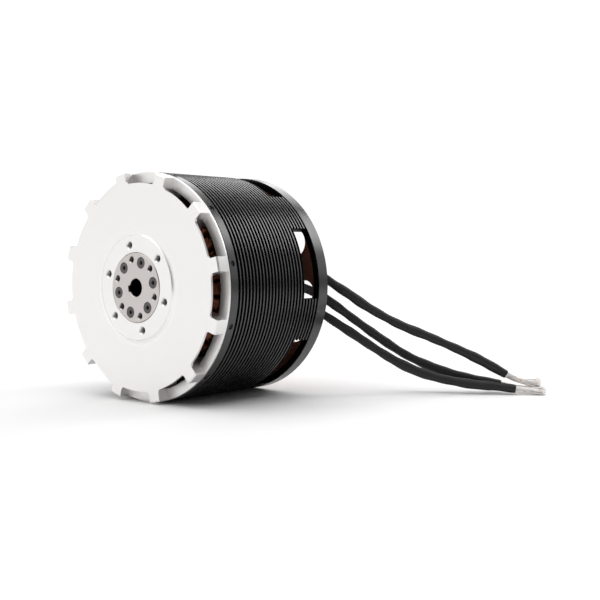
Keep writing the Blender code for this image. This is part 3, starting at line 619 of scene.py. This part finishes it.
class Shape:
    """Collects the vertices and faces of one piece, in metres."""

    def __init__(self):
        self.verts = []
        self.faces = []

    def point(self, radius, angle, depth):
        x, z = polar(radius, angle)
        self.verts.append((x, y_at(depth), z))
        return len(self.verts) - 1

    def rings(self, loops, closed=True):
        """Joins loops of equal vertex count, each to the next, and the last to the first."""
        count = len(loops[0])
        pairs = list(zip(loops, loops[1:])) + ([(loops[-1], loops[0])] if closed else [])
        for first, second in pairs:
            for k in range(count):
                n = (k + 1) % count
                self.faces.append((first[k], first[n], second[n], second[k]))

    def pipe(self, loops):
        """Loops joined into a pipe with flat ends."""
        self.rings(loops, closed=False)
        self.faces += [tuple(loops[0]), tuple(reversed(loops[-1]))]

    def turned(self, outline, sides, start=0.0):
        """A loop round the motor's axis for each (radius, depth) of an outline."""
        return [
            [self.point(radius, angle, depth) for angle in around(sides, start)]
            for radius, depth in outline
        ]

    def lathe(self, outline, sides, start=0.0):
        """A closed outline of (radius, depth) turned round the motor's axis."""
        self.rings(self.turned(outline, sides, start))

    def bar(self, outline, sides):
        """An outline whose ends lie near the axis, closed there with flat caps."""
        self.pipe(self.turned(outline, sides))

    def prism(self, outline, front, back, turn=0.0):
        """An (x, z) outline extruded along the axis, turned about it."""
        cos, sin = math.cos(turn), math.sin(turn)
        ends = []
        for depth in (front, back):
            start = len(self.verts)
            self.verts += [(x * cos - z * sin, y_at(depth), x * sin + z * cos) for x, z in outline]
            ends.append(list(range(start, len(self.verts))))
        self.pipe(ends)

    def tube(self, line, radius, sides, closed=False, roll=0.0):
        """A round wire along a line of Vectors; radius may be a number or a list."""
        count = len(line)
        radii = radius if isinstance(radius, list) else [radius] * count
        side = None
        loops = []
        for k, place in enumerate(line):
            before = line[k - 1] if k or closed else place
            after = line[(k + 1) % count] if k + 1 < count or closed else place
            ahead = (after - before).normalized()
            if side is None:
                side = ahead.orthogonal().normalized()
            side = (side - ahead * side.dot(ahead)).normalized()
            other = ahead.cross(side)
            start = len(self.verts)
            for angle in around(sides, roll):
                outward = side * math.cos(angle) + other * math.sin(angle)
                self.verts.append(place + outward * radii[k])
            loops.append(list(range(start, start + sides)))
        if closed:
            self.rings(loops)
        else:
            self.pipe(loops)

    def add_mesh(self, mesh, matrix=None):
        """Copies a finished mesh in."""
        start = len(self.verts)
        matrix = matrix or Matrix.Identity(4)
        self.verts += [matrix @ vertex.co for vertex in mesh.vertices]
        self.faces += [tuple(start + i for i in face.vertices) for face in mesh.polygons]

    def mesh(self, name, sharp=35):
        mesh = bpy.data.meshes.new(name)
        mesh.from_pydata([tuple(v) for v in self.verts], [], self.faces)
        bm = bmesh.new()
        bm.from_mesh(mesh)
        bmesh.ops.recalc_face_normals(bm, faces=bm.faces)
        bm.to_mesh(mesh)
        bm.free()
        mesh.shade_smooth()
        mesh.set_sharp_from_angle(angle=math.radians(sharp))
        return mesh


def add_piece(name, mesh, material, body, replaced=()):
    """Puts a mesh in the scene as a piece that rides on a body."""
    mesh.materials.clear()
    mesh.materials.append(MATERIALS[material])
    obj = bpy.data.objects.new(name, mesh)
    bpy.context.scene.collection.objects.link(obj)
    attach(obj, body)
    if replaced:
        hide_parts(*replaced)
    return obj


def carved(shape, *cutters, bevel=0.0):
    """The mesh left when the cutter shapes are taken away from a shape."""
    helpers = [bpy.data.objects.new("carved", part.mesh("carved")) for part in (shape, *cutters)]
    for helper in helpers:
        bpy.context.scene.collection.objects.link(helper)
    for helper in helpers[1:]:
        modifier = helpers[0].modifiers.new("cut", "BOOLEAN")
        modifier.operation = "DIFFERENCE"
        modifier.solver = "EXACT"
        modifier.object = helper
    if bevel:
        modifier = helpers[0].modifiers.new("bevel", "BEVEL")
        modifier.width = bevel
        modifier.segments = 1
        modifier.limit_method = "ANGLE"
        modifier.angle_limit = math.radians(40)
    bpy.context.view_layer.update()
    graph = bpy.context.evaluated_depsgraph_get()
    mesh = bpy.data.meshes.new_from_object(helpers[0].evaluated_get(graph))
    for helper in helpers:
        bpy.data.objects.remove(helper)
    mesh.shade_smooth()
    mesh.set_sharp_from_angle(angle=math.radians(35))
    return mesh


def around(count, first=0.0):
    return [first + 2 * math.pi * k / count for k in range(count)]


# --- Cap ----------------------------------------------------------------------


def pocket_outline():
    """The opening between two spokes, with round inner corners, centred on +X."""

    def half_angle(radius):
        return math.pi / SPOKES - math.asin(SPOKE_WIDTH / 2 / radius)

    inner, outer, steps = DISC_RADIUS, 82 * MM, 6
    side = []
    for step in range(steps + 1):
        t = math.pi / 2 * step / steps
        radius = inner + WINDOW_CORNER * (1 - math.cos(t))
        full = half_angle(inner + WINDOW_CORNER)
        side.append(polar(radius, full - WINDOW_CORNER / inner * (1 - math.sin(t))))
    side.append(polar(outer, half_angle(outer)))
    first_angle = math.atan2(side[0][1], side[0][0])
    middle = [polar(inner, first_angle * k / 8) for k in range(-7, 8)]
    rim = [polar(outer, half_angle(outer) * k / 4) for k in (3, 2, 1, 0, -1, -2, -3)]
    return side + rim + [(x, -z) for x, z in reversed(side)] + middle


def six_bars(outline, sides, circle, first):
    """Six copies of a bar, on a circle round the axis."""
    bar, copies = Shape(), Shape()
    bar.bar(outline, sides)
    mesh = bar.mesh("bar")
    for angle in around(6, first):
        x, z = polar(circle, angle)
        copies.add_mesh(mesh, Matrix.Translation((x, 0, z)))
    return copies


def hole_set(radius, mouth, face, depth, circle, first):
    """Six drilled holes with chamfered mouths."""
    outline = [
        (mouth + MM, face - MM), (mouth, face), (radius, face + mouth - radius),
        (radius, face + depth), (radius * 0.05, face + depth + radius * 0.6),
    ]
    return six_bars(outline, 32, circle, first)


def add_threads(shape, radius, face, depth, circle, first):
    """The helical crests seen inside six tapped holes."""
    turns = depth / THREAD_PITCH
    steps = int(turns * 24)
    for angle in around(6, first):
        x, z = polar(circle, angle)
        line = []
        for k in range(steps + 1):
            dx, dz = polar(radius, 2 * math.pi * turns * k / steps)
            line.append(Vector((x + dx, y_at(face + depth * k / steps), z + dz)))
        shape.tube(line, THREAD_PITCH * 0.3, 4)


def disc_outline():
    """The cap's disc, cut through its radius: seat for the hub, boss, fillet, tapering plate."""
    pocket, bevel, chamfer = HUB_RADIUS + 0.2 * MM, 0.25 * MM, 0.2 * MM
    bearing_hole, plate_back, back = 10.4 * MM, 4.2 * MM, 13 * MM
    collar_inner, collar_outer = 32 * MM, 36 * MM
    fillet_end = BOSS_RADIUS + 3.3 * MM
    return [
        (bearing_hole, back), (bearing_hole, HUB_SEAT), (pocket, HUB_SEAT),
        (pocket, BOSS_FACE + bevel), (pocket + bevel, BOSS_FACE),
        (BOSS_RADIUS - chamfer, BOSS_FACE), (BOSS_RADIUS, BOSS_FACE + chamfer),
        *arc((fillet_end, -BOSS_FILLET), BOSS_FILLET, 129, 90, 8), (fillet_end + chamfer, 0),
        (50 * MM, 0), (ROTOR_RADIUS - SPOKE_CHAMFER, 0), (ROTOR_RADIUS, SPOKE_CHAMFER),
        (ROTOR_RADIUS, EDGE_THICKNESS), (DISC_RADIUS, EDGE_THICKNESS), (collar_outer, plate_back),
        (collar_outer, RIB_BACK), (collar_inner, RIB_BACK), (collar_inner, back),
    ]


def rim_mesh():
    """The ring that joins the spokes' ends, with a spigot that sits in the barrel."""
    rim = Shape()
    edge = 0.25 * MM
    outer = ROTOR_RADIUS - 0.02 * MM
    outline = [
        (RIM_INNER, RIM_FRONT + edge), (RIM_INNER + edge, RIM_FRONT), (outer - edge, RIM_FRONT),
        (outer, RIM_FRONT + edge), (outer, RIM_BACK), (SPIGOT_RADIUS, RIM_BACK),
        (SPIGOT_RADIUS, SPIGOT_BACK), (RIM_INNER, SPIGOT_BACK),
    ]
    rim.lathe(outline, CAP_SIDES)
    return rim.mesh("rim")


def build_cap():
    disc, pockets, cap = Shape(), Shape(), Shape()
    disc.lathe(disc_outline(), CAP_SIDES)
    for angle in around(SPOKES, FIRST_SPOKE + math.pi / SPOKES):
        pockets.prism(pocket_outline(), -4 * MM, 20 * MM, angle)
    holes = hole_set(TAPPED_RADIUS, 2.85 * MM, BOSS_FACE, 9 * MM, *BOSS_TAPPED)
    through = hole_set(2.3 * MM, 2.3 * MM, 4 * MM, 12 * MM, *HUB_SCREWS)
    cap.add_mesh(carved(disc, pockets, holes, through, bevel=0.18 * MM))
    cap.add_mesh(spokes_mesh())
    cap.add_mesh(rim_mesh())
    add_threads(cap, TAPPED_RADIUS, BOSS_FACE + MM, 7 * MM, *BOSS_TAPPED)
    name = "cap_with_spokes"
    add_piece(name, cap.mesh(name, 20), "satin_aluminium", "rotor", ["front_cap"])


def spokes_mesh():
    """Twelve parallel-sided ribs behind the disc, each with a lug into the barrel."""
    half = SPOKE_WIDTH / 2 - 0.03 * MM
    outer = ROTOR_RADIUS - 0.02 * MM
    blocks, ribs, lugs, screw_holes = Shape(), Shape(), Shape(), Shape()
    for angle in around(SPOKES, FIRST_SPOKE):
        blocks.prism(rib_outline(64 * MM, outer, half), SPOKE_CHAMFER + 0.1 * MM, RIM_BACK, angle)
        ribs.prism(rib_outline(35 * MM, SPIGOT_RADIUS, half - 0.04 * MM), 1.2 * MM, RIB_BACK, angle)
        lugs.prism(rib_outline(62 * MM, SPIGOT_RADIUS, half), RIM_BACK - 0.5 * MM, 17 * MM, angle)
    radial_holes(screw_holes, 1.8 * MM, 66.5 * MM, 78 * MM)
    spokes = Shape()
    spokes.add_mesh(carved(blocks, bevel=0.15 * MM))
    spokes.add_mesh(ribs.mesh("ribs"))
    spokes.add_mesh(carved(lugs, screw_holes))
    return spokes.mesh("spokes")


def rib_outline(inner, outer, half):
    """A parallel-sided bar along +X whose outer end is round."""
    tip = math.asin(half / outer)
    return [(inner, half), (inner, -half)] + [polar(outer, tip * k / 3) for k in range(-3, 4)]


def radial_holes(shape, radius, inner, outer, mouth=None):
    """Twelve round holes from the barrel's side, at the grub screws, wider from a mouth on."""
    for angle in around(SPOKES, FIRST_SPOKE):
        out = Vector((math.cos(angle), 0, math.sin(angle)))
        middle = Vector((0, y_at(GRUB_DEPTH), 0))
        places = [inner, ROTOR_RADIUS - 0.5 * MM, ROTOR_RADIUS, outer]
        radii = [radius, radius, (mouth or radius), (mouth or radius)]
        shape.tube([middle + out * place for place in places], radii, 20)


# --- Hub, screws --------------------------------------------------------------


def build_hub():
    """The shaft and its flange: countersunk seats, tapped holes and a keyed bore."""
    edge, chamfer, core = 0.3 * MM, 0.6 * MM, 0.2 * MM
    groove, groove_front, groove_back = 9.3 * MM, 98.9 * MM, 100.3 * MM
    body, keyway, hub = Shape(), Shape(), Shape()
    outline = [
        (BORE_RADIUS + edge, HUB_FACE), (HUB_RADIUS - edge, HUB_FACE),
        (HUB_RADIUS, HUB_FACE + edge), (HUB_RADIUS, HUB_BACK), (SHAFT_RADIUS, HUB_BACK),
        (SHAFT_RADIUS, groove_front), (groove, groove_front), (groove, groove_back),
        (SHAFT_RADIUS, groove_back), (SHAFT_RADIUS, SHAFT_END - chamfer),
        (SHAFT_RADIUS - chamfer, SHAFT_END), (core, SHAFT_END), (core, BORE_DEPTH),
        (BORE_RADIUS, BORE_DEPTH), (BORE_RADIUS, HUB_FACE + edge),
    ]
    body.lathe(outline, HUB_SIDES)
    half, inside = KEYWAY_WIDTH / 2, -3 * MM
    reach = -BORE_RADIUS - KEYWAY_DEPTH
    notch = [
        (inside, -half), (reach + edge, -half), (reach, -half + edge), (reach, half - edge),
        (reach + edge, half), (inside, half),
    ]
    keyway.prism(notch, HUB_FACE - MM, BORE_DEPTH - MM, KEYWAY_TURN)
    seats = screw_seats(HUB_FACE, 14 * MM, *HUB_SCREWS)
    tapped = hole_set(2 * MM, 2.45 * MM, HUB_FACE, 4.6 * MM, *HUB_TAPPED)
    hub.add_mesh(carved(body, keyway, seats, tapped, bevel=0.12 * MM))
    add_threads(hub, 2 * MM, HUB_FACE + MM, 3.5 * MM, *HUB_TAPPED)
    add_piece("shaft_and_hub", hub.mesh("shaft_and_hub", 20), "ground_steel", "rotor", ["shaft"])


def screw_seats(face, depth, circle, first):
    """Six countersinks with clearance holes."""
    mouth, hole = 3.75 * MM, 2.2 * MM
    outline = [
        (mouth, face - MM), (mouth, face + 0.35 * MM), (hole, face + 1.9 * MM), (hole, face + depth)
    ]
    return six_bars(outline, 40, circle, first)


def countersunk_screw():
    """An M4 countersunk screw, head up at depth 0, with a hexagon socket."""
    head, socket, chamfer = Shape(), Shape(), Shape()
    middle, rim, stem, length = 0.05 * MM, 3.55 * MM, 2 * MM, 10.8 * MM
    outline = [
        (middle, 0), (rim - 0.15 * MM, 0), (rim, 0.15 * MM), (rim, 0.4 * MM),
        (stem, 1.95 * MM), (stem, length), (middle, length),
    ]
    head.bar(outline, 48)
    socket.prism([polar(1.44 * MM, angle) for angle in around(6, 0.3)], -MM, 1.7 * MM)
    chamfer.bar([(1.9 * MM, -0.4 * MM), (1.2 * MM, 0.3 * MM)], 24)
    return carved(head, socket, chamfer, bevel=0.06 * MM)


def build_countersunk_screws():
    mesh = countersunk_screw()
    turner = random.Random(4)
    sets = (
        ("hub_screw", HUB_SCREWS, HUB_FACE, "rotor", 0.0),
        ("flange_screw", FLANGE_SCREWS, MOTOR_LENGTH, "stator", math.pi),
    )
    for stem, (circle, first), face, body, facing in sets:
        for number, angle in enumerate(around(6, first), 1):
            x, z = polar(circle, angle)
            spin = Matrix.Rotation(turner.uniform(0, 1), 4, "Y")
            sunk = 0.12 * MM if body == "rotor" else -0.12 * MM
            at_origin = Matrix.Translation((0, -y_at(0), 0))
            place = Matrix.Translation((x, y_at(face) + sunk, z)) @ Matrix.Rotation(facing, 4, "Z")
            screw = Shape()
            screw.add_mesh(mesh, place @ spin @ at_origin)
            name = f"{stem}_{number}"
            add_piece(name + "_head", screw.mesh(name), "black_oxide", body, [name])


def build_grub_screws():
    """Socket grub screws through the barrel into the cap's lugs."""
    turner = random.Random(9)
    for number, angle in enumerate(around(SPOKES, FIRST_SPOKE), 1):
        body, socket = Shape(), Shape()
        out = Vector((math.cos(angle), 0, math.sin(angle)))
        middle = Vector((0, y_at(GRUB_DEPTH), 0))
        places = [middle + out * r * MM for r in (66.8, 67.2, 73.9, 74.2)]
        body.tube(places, [1.2 * MM, 1.5 * MM, 1.5 * MM, 1.2 * MM], 24)
        bottom, mouth = middle + out * 72.6 * MM, middle + out * 76 * MM
        socket.tube([bottom, mouth], 0.8 * MM, 6, roll=turner.uniform(0, 1))
        name = f"grub_screw_{number}"
        add_piece(name + "_socket", carved(body, socket), "black_oxide", "rotor", [name])


# --- Barrel, magnets ----------------------------------------------------------


def barrel_outside():
    """(radius, depth) points down the outside of the barrel: 26 grooves, then the rear ring."""
    edge, draft, floor = 0.13 * MM, 0.08 * MM, ROTOR_RADIUS - GROOVE_DEPTH
    points = [(ROTOR_RADIUS, BAND_BACK)]
    for number in range(GROOVES):
        middle = FIRST_GROOVE + GROOVE_PITCH * number
        front, back = middle - GROOVE_WIDTH / 2, middle + GROOVE_WIDTH / 2
        if front > WINDOW_FRONT > points[-1][1]:
            points.append((ROTOR_RADIUS, WINDOW_FRONT))
        points += [
            (ROTOR_RADIUS, front - edge), (ROTOR_RADIUS - edge, front),
            (floor + edge, front + draft), (floor, front + draft + edge),
            (floor, back - draft - edge), (floor + edge, back - draft),
            (ROTOR_RADIUS - edge, back), (ROTOR_RADIUS, back + edge),
        ]
    points.append((ROTOR_RADIUS, WINDOW_BACK + 0.3 * MM))
    points += [(ROTOR_RADIUS, BARREL_END - 0.5 * MM), (ROTOR_RADIUS - 0.5 * MM, BARREL_END)]
    return points


def build_barrel():
    """A grooved tube with six windows near its back, built cell by cell round the axis."""
    start = FIRST_SPOKE - WINDOW_SPAN / 2
    window_cells = round(WINDOW_SPAN / (2 * math.pi / BARREL_SIDES))
    per_window = BARREL_SIDES // 6
    outside = barrel_outside()
    depths = [depth for _, depth in outside]
    window_front = depths.index(WINDOW_FRONT)
    window_back = depths.index(WINDOW_BACK + 0.3 * MM)
    back_depth = depths[window_back]
    inside = [
        (BARREL_INNER, BAND_BACK), (BARREL_INNER, WINDOW_FRONT), (BARREL_INNER, back_depth),
        (REAR_RING_INNER, back_depth), (REAR_RING_INNER, BARREL_END - 0.5 * MM),
        (REAR_RING_INNER + 0.5 * MM, BARREL_END),
    ]
    barrel = Shape()
    angles = around(BARREL_SIDES, start)
    outer = [[barrel.point(r, angle, d) for r, d in outside] for angle in angles]
    inner = [[barrel.point(r, angle, d) for r, d in inside] for angle in angles]
    for k in range(BARREL_SIDES):
        n = (k + 1) % BARREL_SIDES
        in_window = k % per_window < window_cells

        def strip(first, second, here=k, there=n):
            """A quad from the rail between two points to the next angle."""
            (one, a), (other, b) = first, second
            barrel.faces.append((one[here][a], one[there][a], other[there][b], other[here][b]))

        for i in range(len(outside) - 1):
            if not (in_window and window_front <= i < window_back):
                strip((outer, i), (outer, i + 1))
        strip((inner, 1), (inner, 0))
        strip((outer, 0), (inner, 0))
        strip((outer, len(outside) - 1), (inner, 5))
        for i in (5, 4, 3):
            strip((inner, i), (inner, i - 1))
        if in_window:
            strip((outer, window_front), (inner, 1))
            strip((inner, 2), (outer, window_back))
        else:
            strip((inner, 2), (inner, 1))
        if k % per_window in (0, window_cells):
            wall = outer[k][window_front:window_back + 1] + [inner[k][2], inner[k][1]]
            barrel.faces.append(tuple(wall))
    barrel.add_mesh(band_mesh(start))
    name = "grooved_barrel"
    add_piece(name, barrel.mesh(name), "black_anodised", "rotor", ["rotor_barrel"])


def band_mesh(start):
    """The barrel's smooth front band, with a hole at each grub screw."""
    band, holes = Shape(), Shape()
    edge = 0.35 * MM
    outline = [
        (BARREL_INNER, BARREL_FRONT), (ROTOR_RADIUS - edge, BARREL_FRONT),
        (ROTOR_RADIUS, BARREL_FRONT + edge), (ROTOR_RADIUS, BAND_BACK), (BARREL_INNER, BAND_BACK),
    ]
    band.lathe(outline, BARREL_SIDES, start)
    radial_holes(holes, 1.65 * MM, 66 * MM, 80 * MM, 1.9 * MM)
    return carved(band, holes)


def build_magnets():
    """42 flat magnets, glued side by side inside the flux ring."""
    magnets = Shape()
    inner, outer, edge = 64.1 * MM, 67 * MM, 0.35 * MM
    half = math.tan(math.pi / MAGNETS) * inner - 0.25 * MM
    outline = [
        (inner + edge, -half), (outer, -half), (outer, half), (inner + edge, half),
        (inner, half - edge), (inner, edge - half),
    ]
    for angle in around(MAGNETS, math.pi / MAGNETS):
        magnets.prism(outline, MAGNET_FRONT, MAGNET_BACK, angle)
    add_piece("magnets", magnets.mesh("magnets"), "magnet_nickel", "rotor", ["magnet_ring"])
    flux = Shape()
    profile = (
        (67.4, 17.6), (67.7, 17.3), (69.9, 17.3), (70.1, 17.5),
        (70.1, 78.3), (69.9, 78.5), (67.7, 78.5), (67.4, 78.2),
    )
    flux.lathe([(radius * MM, depth * MM) for radius, depth in profile], HUB_SIDES)
    add_piece("flux_sleeve", flux.mesh("flux_sleeve"), "flux_steel", "rotor", ["flux_ring"])


# --- Windings -----------------------------------------------------------------


def add_turn(shape, tooth_angle, radius, half_width, rise, wire):
    """One turn of wire round a tooth, with domed ends."""
    across = []
    for side, end in ((-1, CORE_FRONT - 0.9 * MM), (1, CORE_BACK + 0.9 * MM)):
        for k in range(9):
            bend = math.pi * k / 8
            dome = side * rise * math.sin(bend) ** 0.8
            across.append((side * half_width * math.cos(bend), end + dome))
    cos, sin = math.cos(tooth_angle), math.sin(tooth_angle)
    line = [
        Vector((radius * cos - z * sin, y_at(depth), radius * sin + z * cos)) for z, depth in across
    ]
    shape.tube(line, wire / 2, 6, closed=True)


def build_windings():
    """Two layers of round wire on each of the 36 teeth, in three phases of 12."""
    wire, pitch = 1.15 * MM, 1.28 * MM
    layers = ((8, 50.8 * MM, 2.95 * MM, 4.2 * MM), (6, 53.6 * MM, 4.05 * MM, 6.6 * MM))
    for phase, ring_radius in PHASE_RINGS.items():
        coils = Shape()
        for tooth in range(TEETH):
            if PHASE_PATTERN[tooth % 12] != phase:
                continue
            angle = 2 * math.pi * tooth / TEETH
            for turns, innermost, half_width, rise in layers:
                for turn in range(turns):
                    add_turn(coils, angle, innermost + pitch * turn, half_width, rise, wire)
        add_phase_ring(coils, phase, ring_radius)
        name, node = f"winding_{phase}_wires", f"winding_phase_{phase}"
        add_piece(name, coils.mesh(name, 60), "enamelled_copper", "stator", [node])


def add_phase_ring(coils, phase, ring_radius):
    """Seven wires laid as a loose rope round the back of the coils, with tails to the lead."""
    steps, twist = 180, 14
    for strand in range(7):
        offset = 0.0 if strand == 6 else 0.85 * MM
        line = []
        for angle in around(steps):
            lean = twist * angle + strand * math.pi / 3
            x, z = polar(ring_radius + offset * math.cos(lean), angle)
            line.append(Vector((x, y_at(86 * MM) + offset * math.sin(lean), z)))
        coils.tube(line, 0.45 * MM, 6, closed=True)
    height = LEAD_HEIGHTS[phase]
    x, z = polar(ring_radius, math.asin(height / ring_radius) + TAIL_TURNS[phase])
    for strand in range(9):
        lean = 2 * math.pi * strand / 8
        size = 0.0 if strand == 8 else 1.25 * MM
        dx, dz = size * math.cos(lean), size * math.sin(lean)
        route = [
            Vector((x, y_at(86.6 * MM), z + dz * 0.6)),
            Vector((x - 1.5 * MM + dx * 0.5, y_at(89 * MM), z * 0.9 + height * 0.1 + dz * 0.8)),
            Vector((LEAD_X + 3 * MM + dx, y_at(90.5 * MM), height + dz)),
            Vector((LEAD_X + dx, y_at(91.2 * MM), height + dz)),
            Vector((LEAD_X + dx * 0.9, y_at(92.4 * MM), height + dz * 0.9)),
        ]
        coils.tube(spline(route, 6), 0.5 * MM, 6)


def spline(knots, steps):
    """Points along a Catmull-Rom curve through Vectors."""
    knots = [2 * knots[0] - knots[1], *knots, 2 * knots[-1] - knots[-2]]
    line = []
    for p, q, r, s in zip(knots, knots[1:], knots[2:], knots[3:]):
        for step in range(steps):
            t = step / steps
            line.append(0.5 * (
                2 * q + (r - p) * t + (2 * p - 5 * q + 4 * r - s) * t**2
                + (3 * q - p - 3 * r + s) * t**3
            ))
    line.append(knots[-2])
    return line


# --- Mounting flange ----------------------------------------------------------


def flange_outline():
    """The flange cut through its radius: a thick middle with a shallow recess, a thin web."""
    edge, chamfer, fillet = 0.4 * MM, 0.6 * MM, 1.2 * MM
    middle, recess, well, well_front = 0.05 * MM, 9 * MM, 18.5 * MM, 105 * MM
    return [
        (middle, MOTOR_LENGTH - edge), (recess, MOTOR_LENGTH - edge), (recess + edge, MOTOR_LENGTH),
        (MOUNT_RADIUS - chamfer, MOTOR_LENGTH), (MOUNT_RADIUS, MOTOR_LENGTH - chamfer),
        *arc((MOUNT_RADIUS + fillet, WEB_BACK + fillet), fillet, 180, 270, 5),
        (WEB_RADIUS - edge, WEB_BACK), (WEB_RADIUS, WEB_BACK - edge),
        (WEB_RADIUS, WEB_FRONT + edge), (WEB_RADIUS - edge, WEB_FRONT),
        (MOUNT_RADIUS, WEB_FRONT), (MOUNT_RADIUS, FLANGE_SEAT), (well, FLANGE_SEAT),
        (well, well_front), (middle, well_front),
    ]


def build_flange():
    """Brown flange: countersunk screws, tapped mounting holes and a web with openings."""
    body, openings, bay, slot = Shape(), Shape(), Shape(), Shape()
    body.lathe(flange_outline(), HUB_SIDES)
    circle, first, step = WEB_HOLES
    low, high = WEB_FRONT - 2 * MM, WEB_BACK + 2 * MM
    for number in range(6):
        centre = polar(circle, first + step * number)
        openings.prism(arc(centre, 10 * MM, 0, 352.5, 47), low, high)
    bay.prism(arc((57 * MM, -4 * MM), 7.5 * MM, 0, 350, 35), low, high)
    slot.prism(rounded(44 * MM, 54.5 * MM, -15.3 * MM, 16 * MM, 3 * MM), low, high)
    turned_over = Matrix.Rotation(math.pi, 4, "Z")
    tapped, seats, threads, flange = Shape(), Shape(), Shape(), Shape()
    holes = hole_set(TAPPED_RADIUS, 2.6 * MM, MOTOR_LENGTH, 5 * MM, *MOUNT_HOLES)
    tapped.add_mesh(holes.mesh("tapped"), turned_over)
    sunk = screw_seats(MOTOR_LENGTH, 7.2 * MM, *FLANGE_SCREWS)
    seats.add_mesh(sunk.mesh("seats"), turned_over)
    flange.add_mesh(carved(body, openings, bay, slot, tapped, seats, bevel=0.22 * MM))
    add_threads(threads, TAPPED_RADIUS, MOTOR_LENGTH + MM, 3.6 * MM, *MOUNT_HOLES)
    flange.add_mesh(threads.mesh("threads"), turned_over)
    name = "flange_with_web"
    add_piece(name, flange.mesh(name, 20), "bronze_anodised", "stator", ["mount_flange"])


def rounded(left, right, low, high, corner):
    """A rectangle with round corners, as (x, z) points."""
    points = []
    for centre, start in (
        ((right - corner, high - corner), 0), ((left + corner, high - corner), 90),
        ((left + corner, low + corner), 180), ((right - corner, low + corner), 270),
    ):
        points += arc(centre, corner, start, start + 90, 5)
    return points


finish_cad_nodes()
build_camera()
build_studio()
build_leads()
build_flange()
build_cap()
build_hub()
build_countersunk_screws()
build_grub_screws()
build_barrel()
build_magnets()
build_windings()
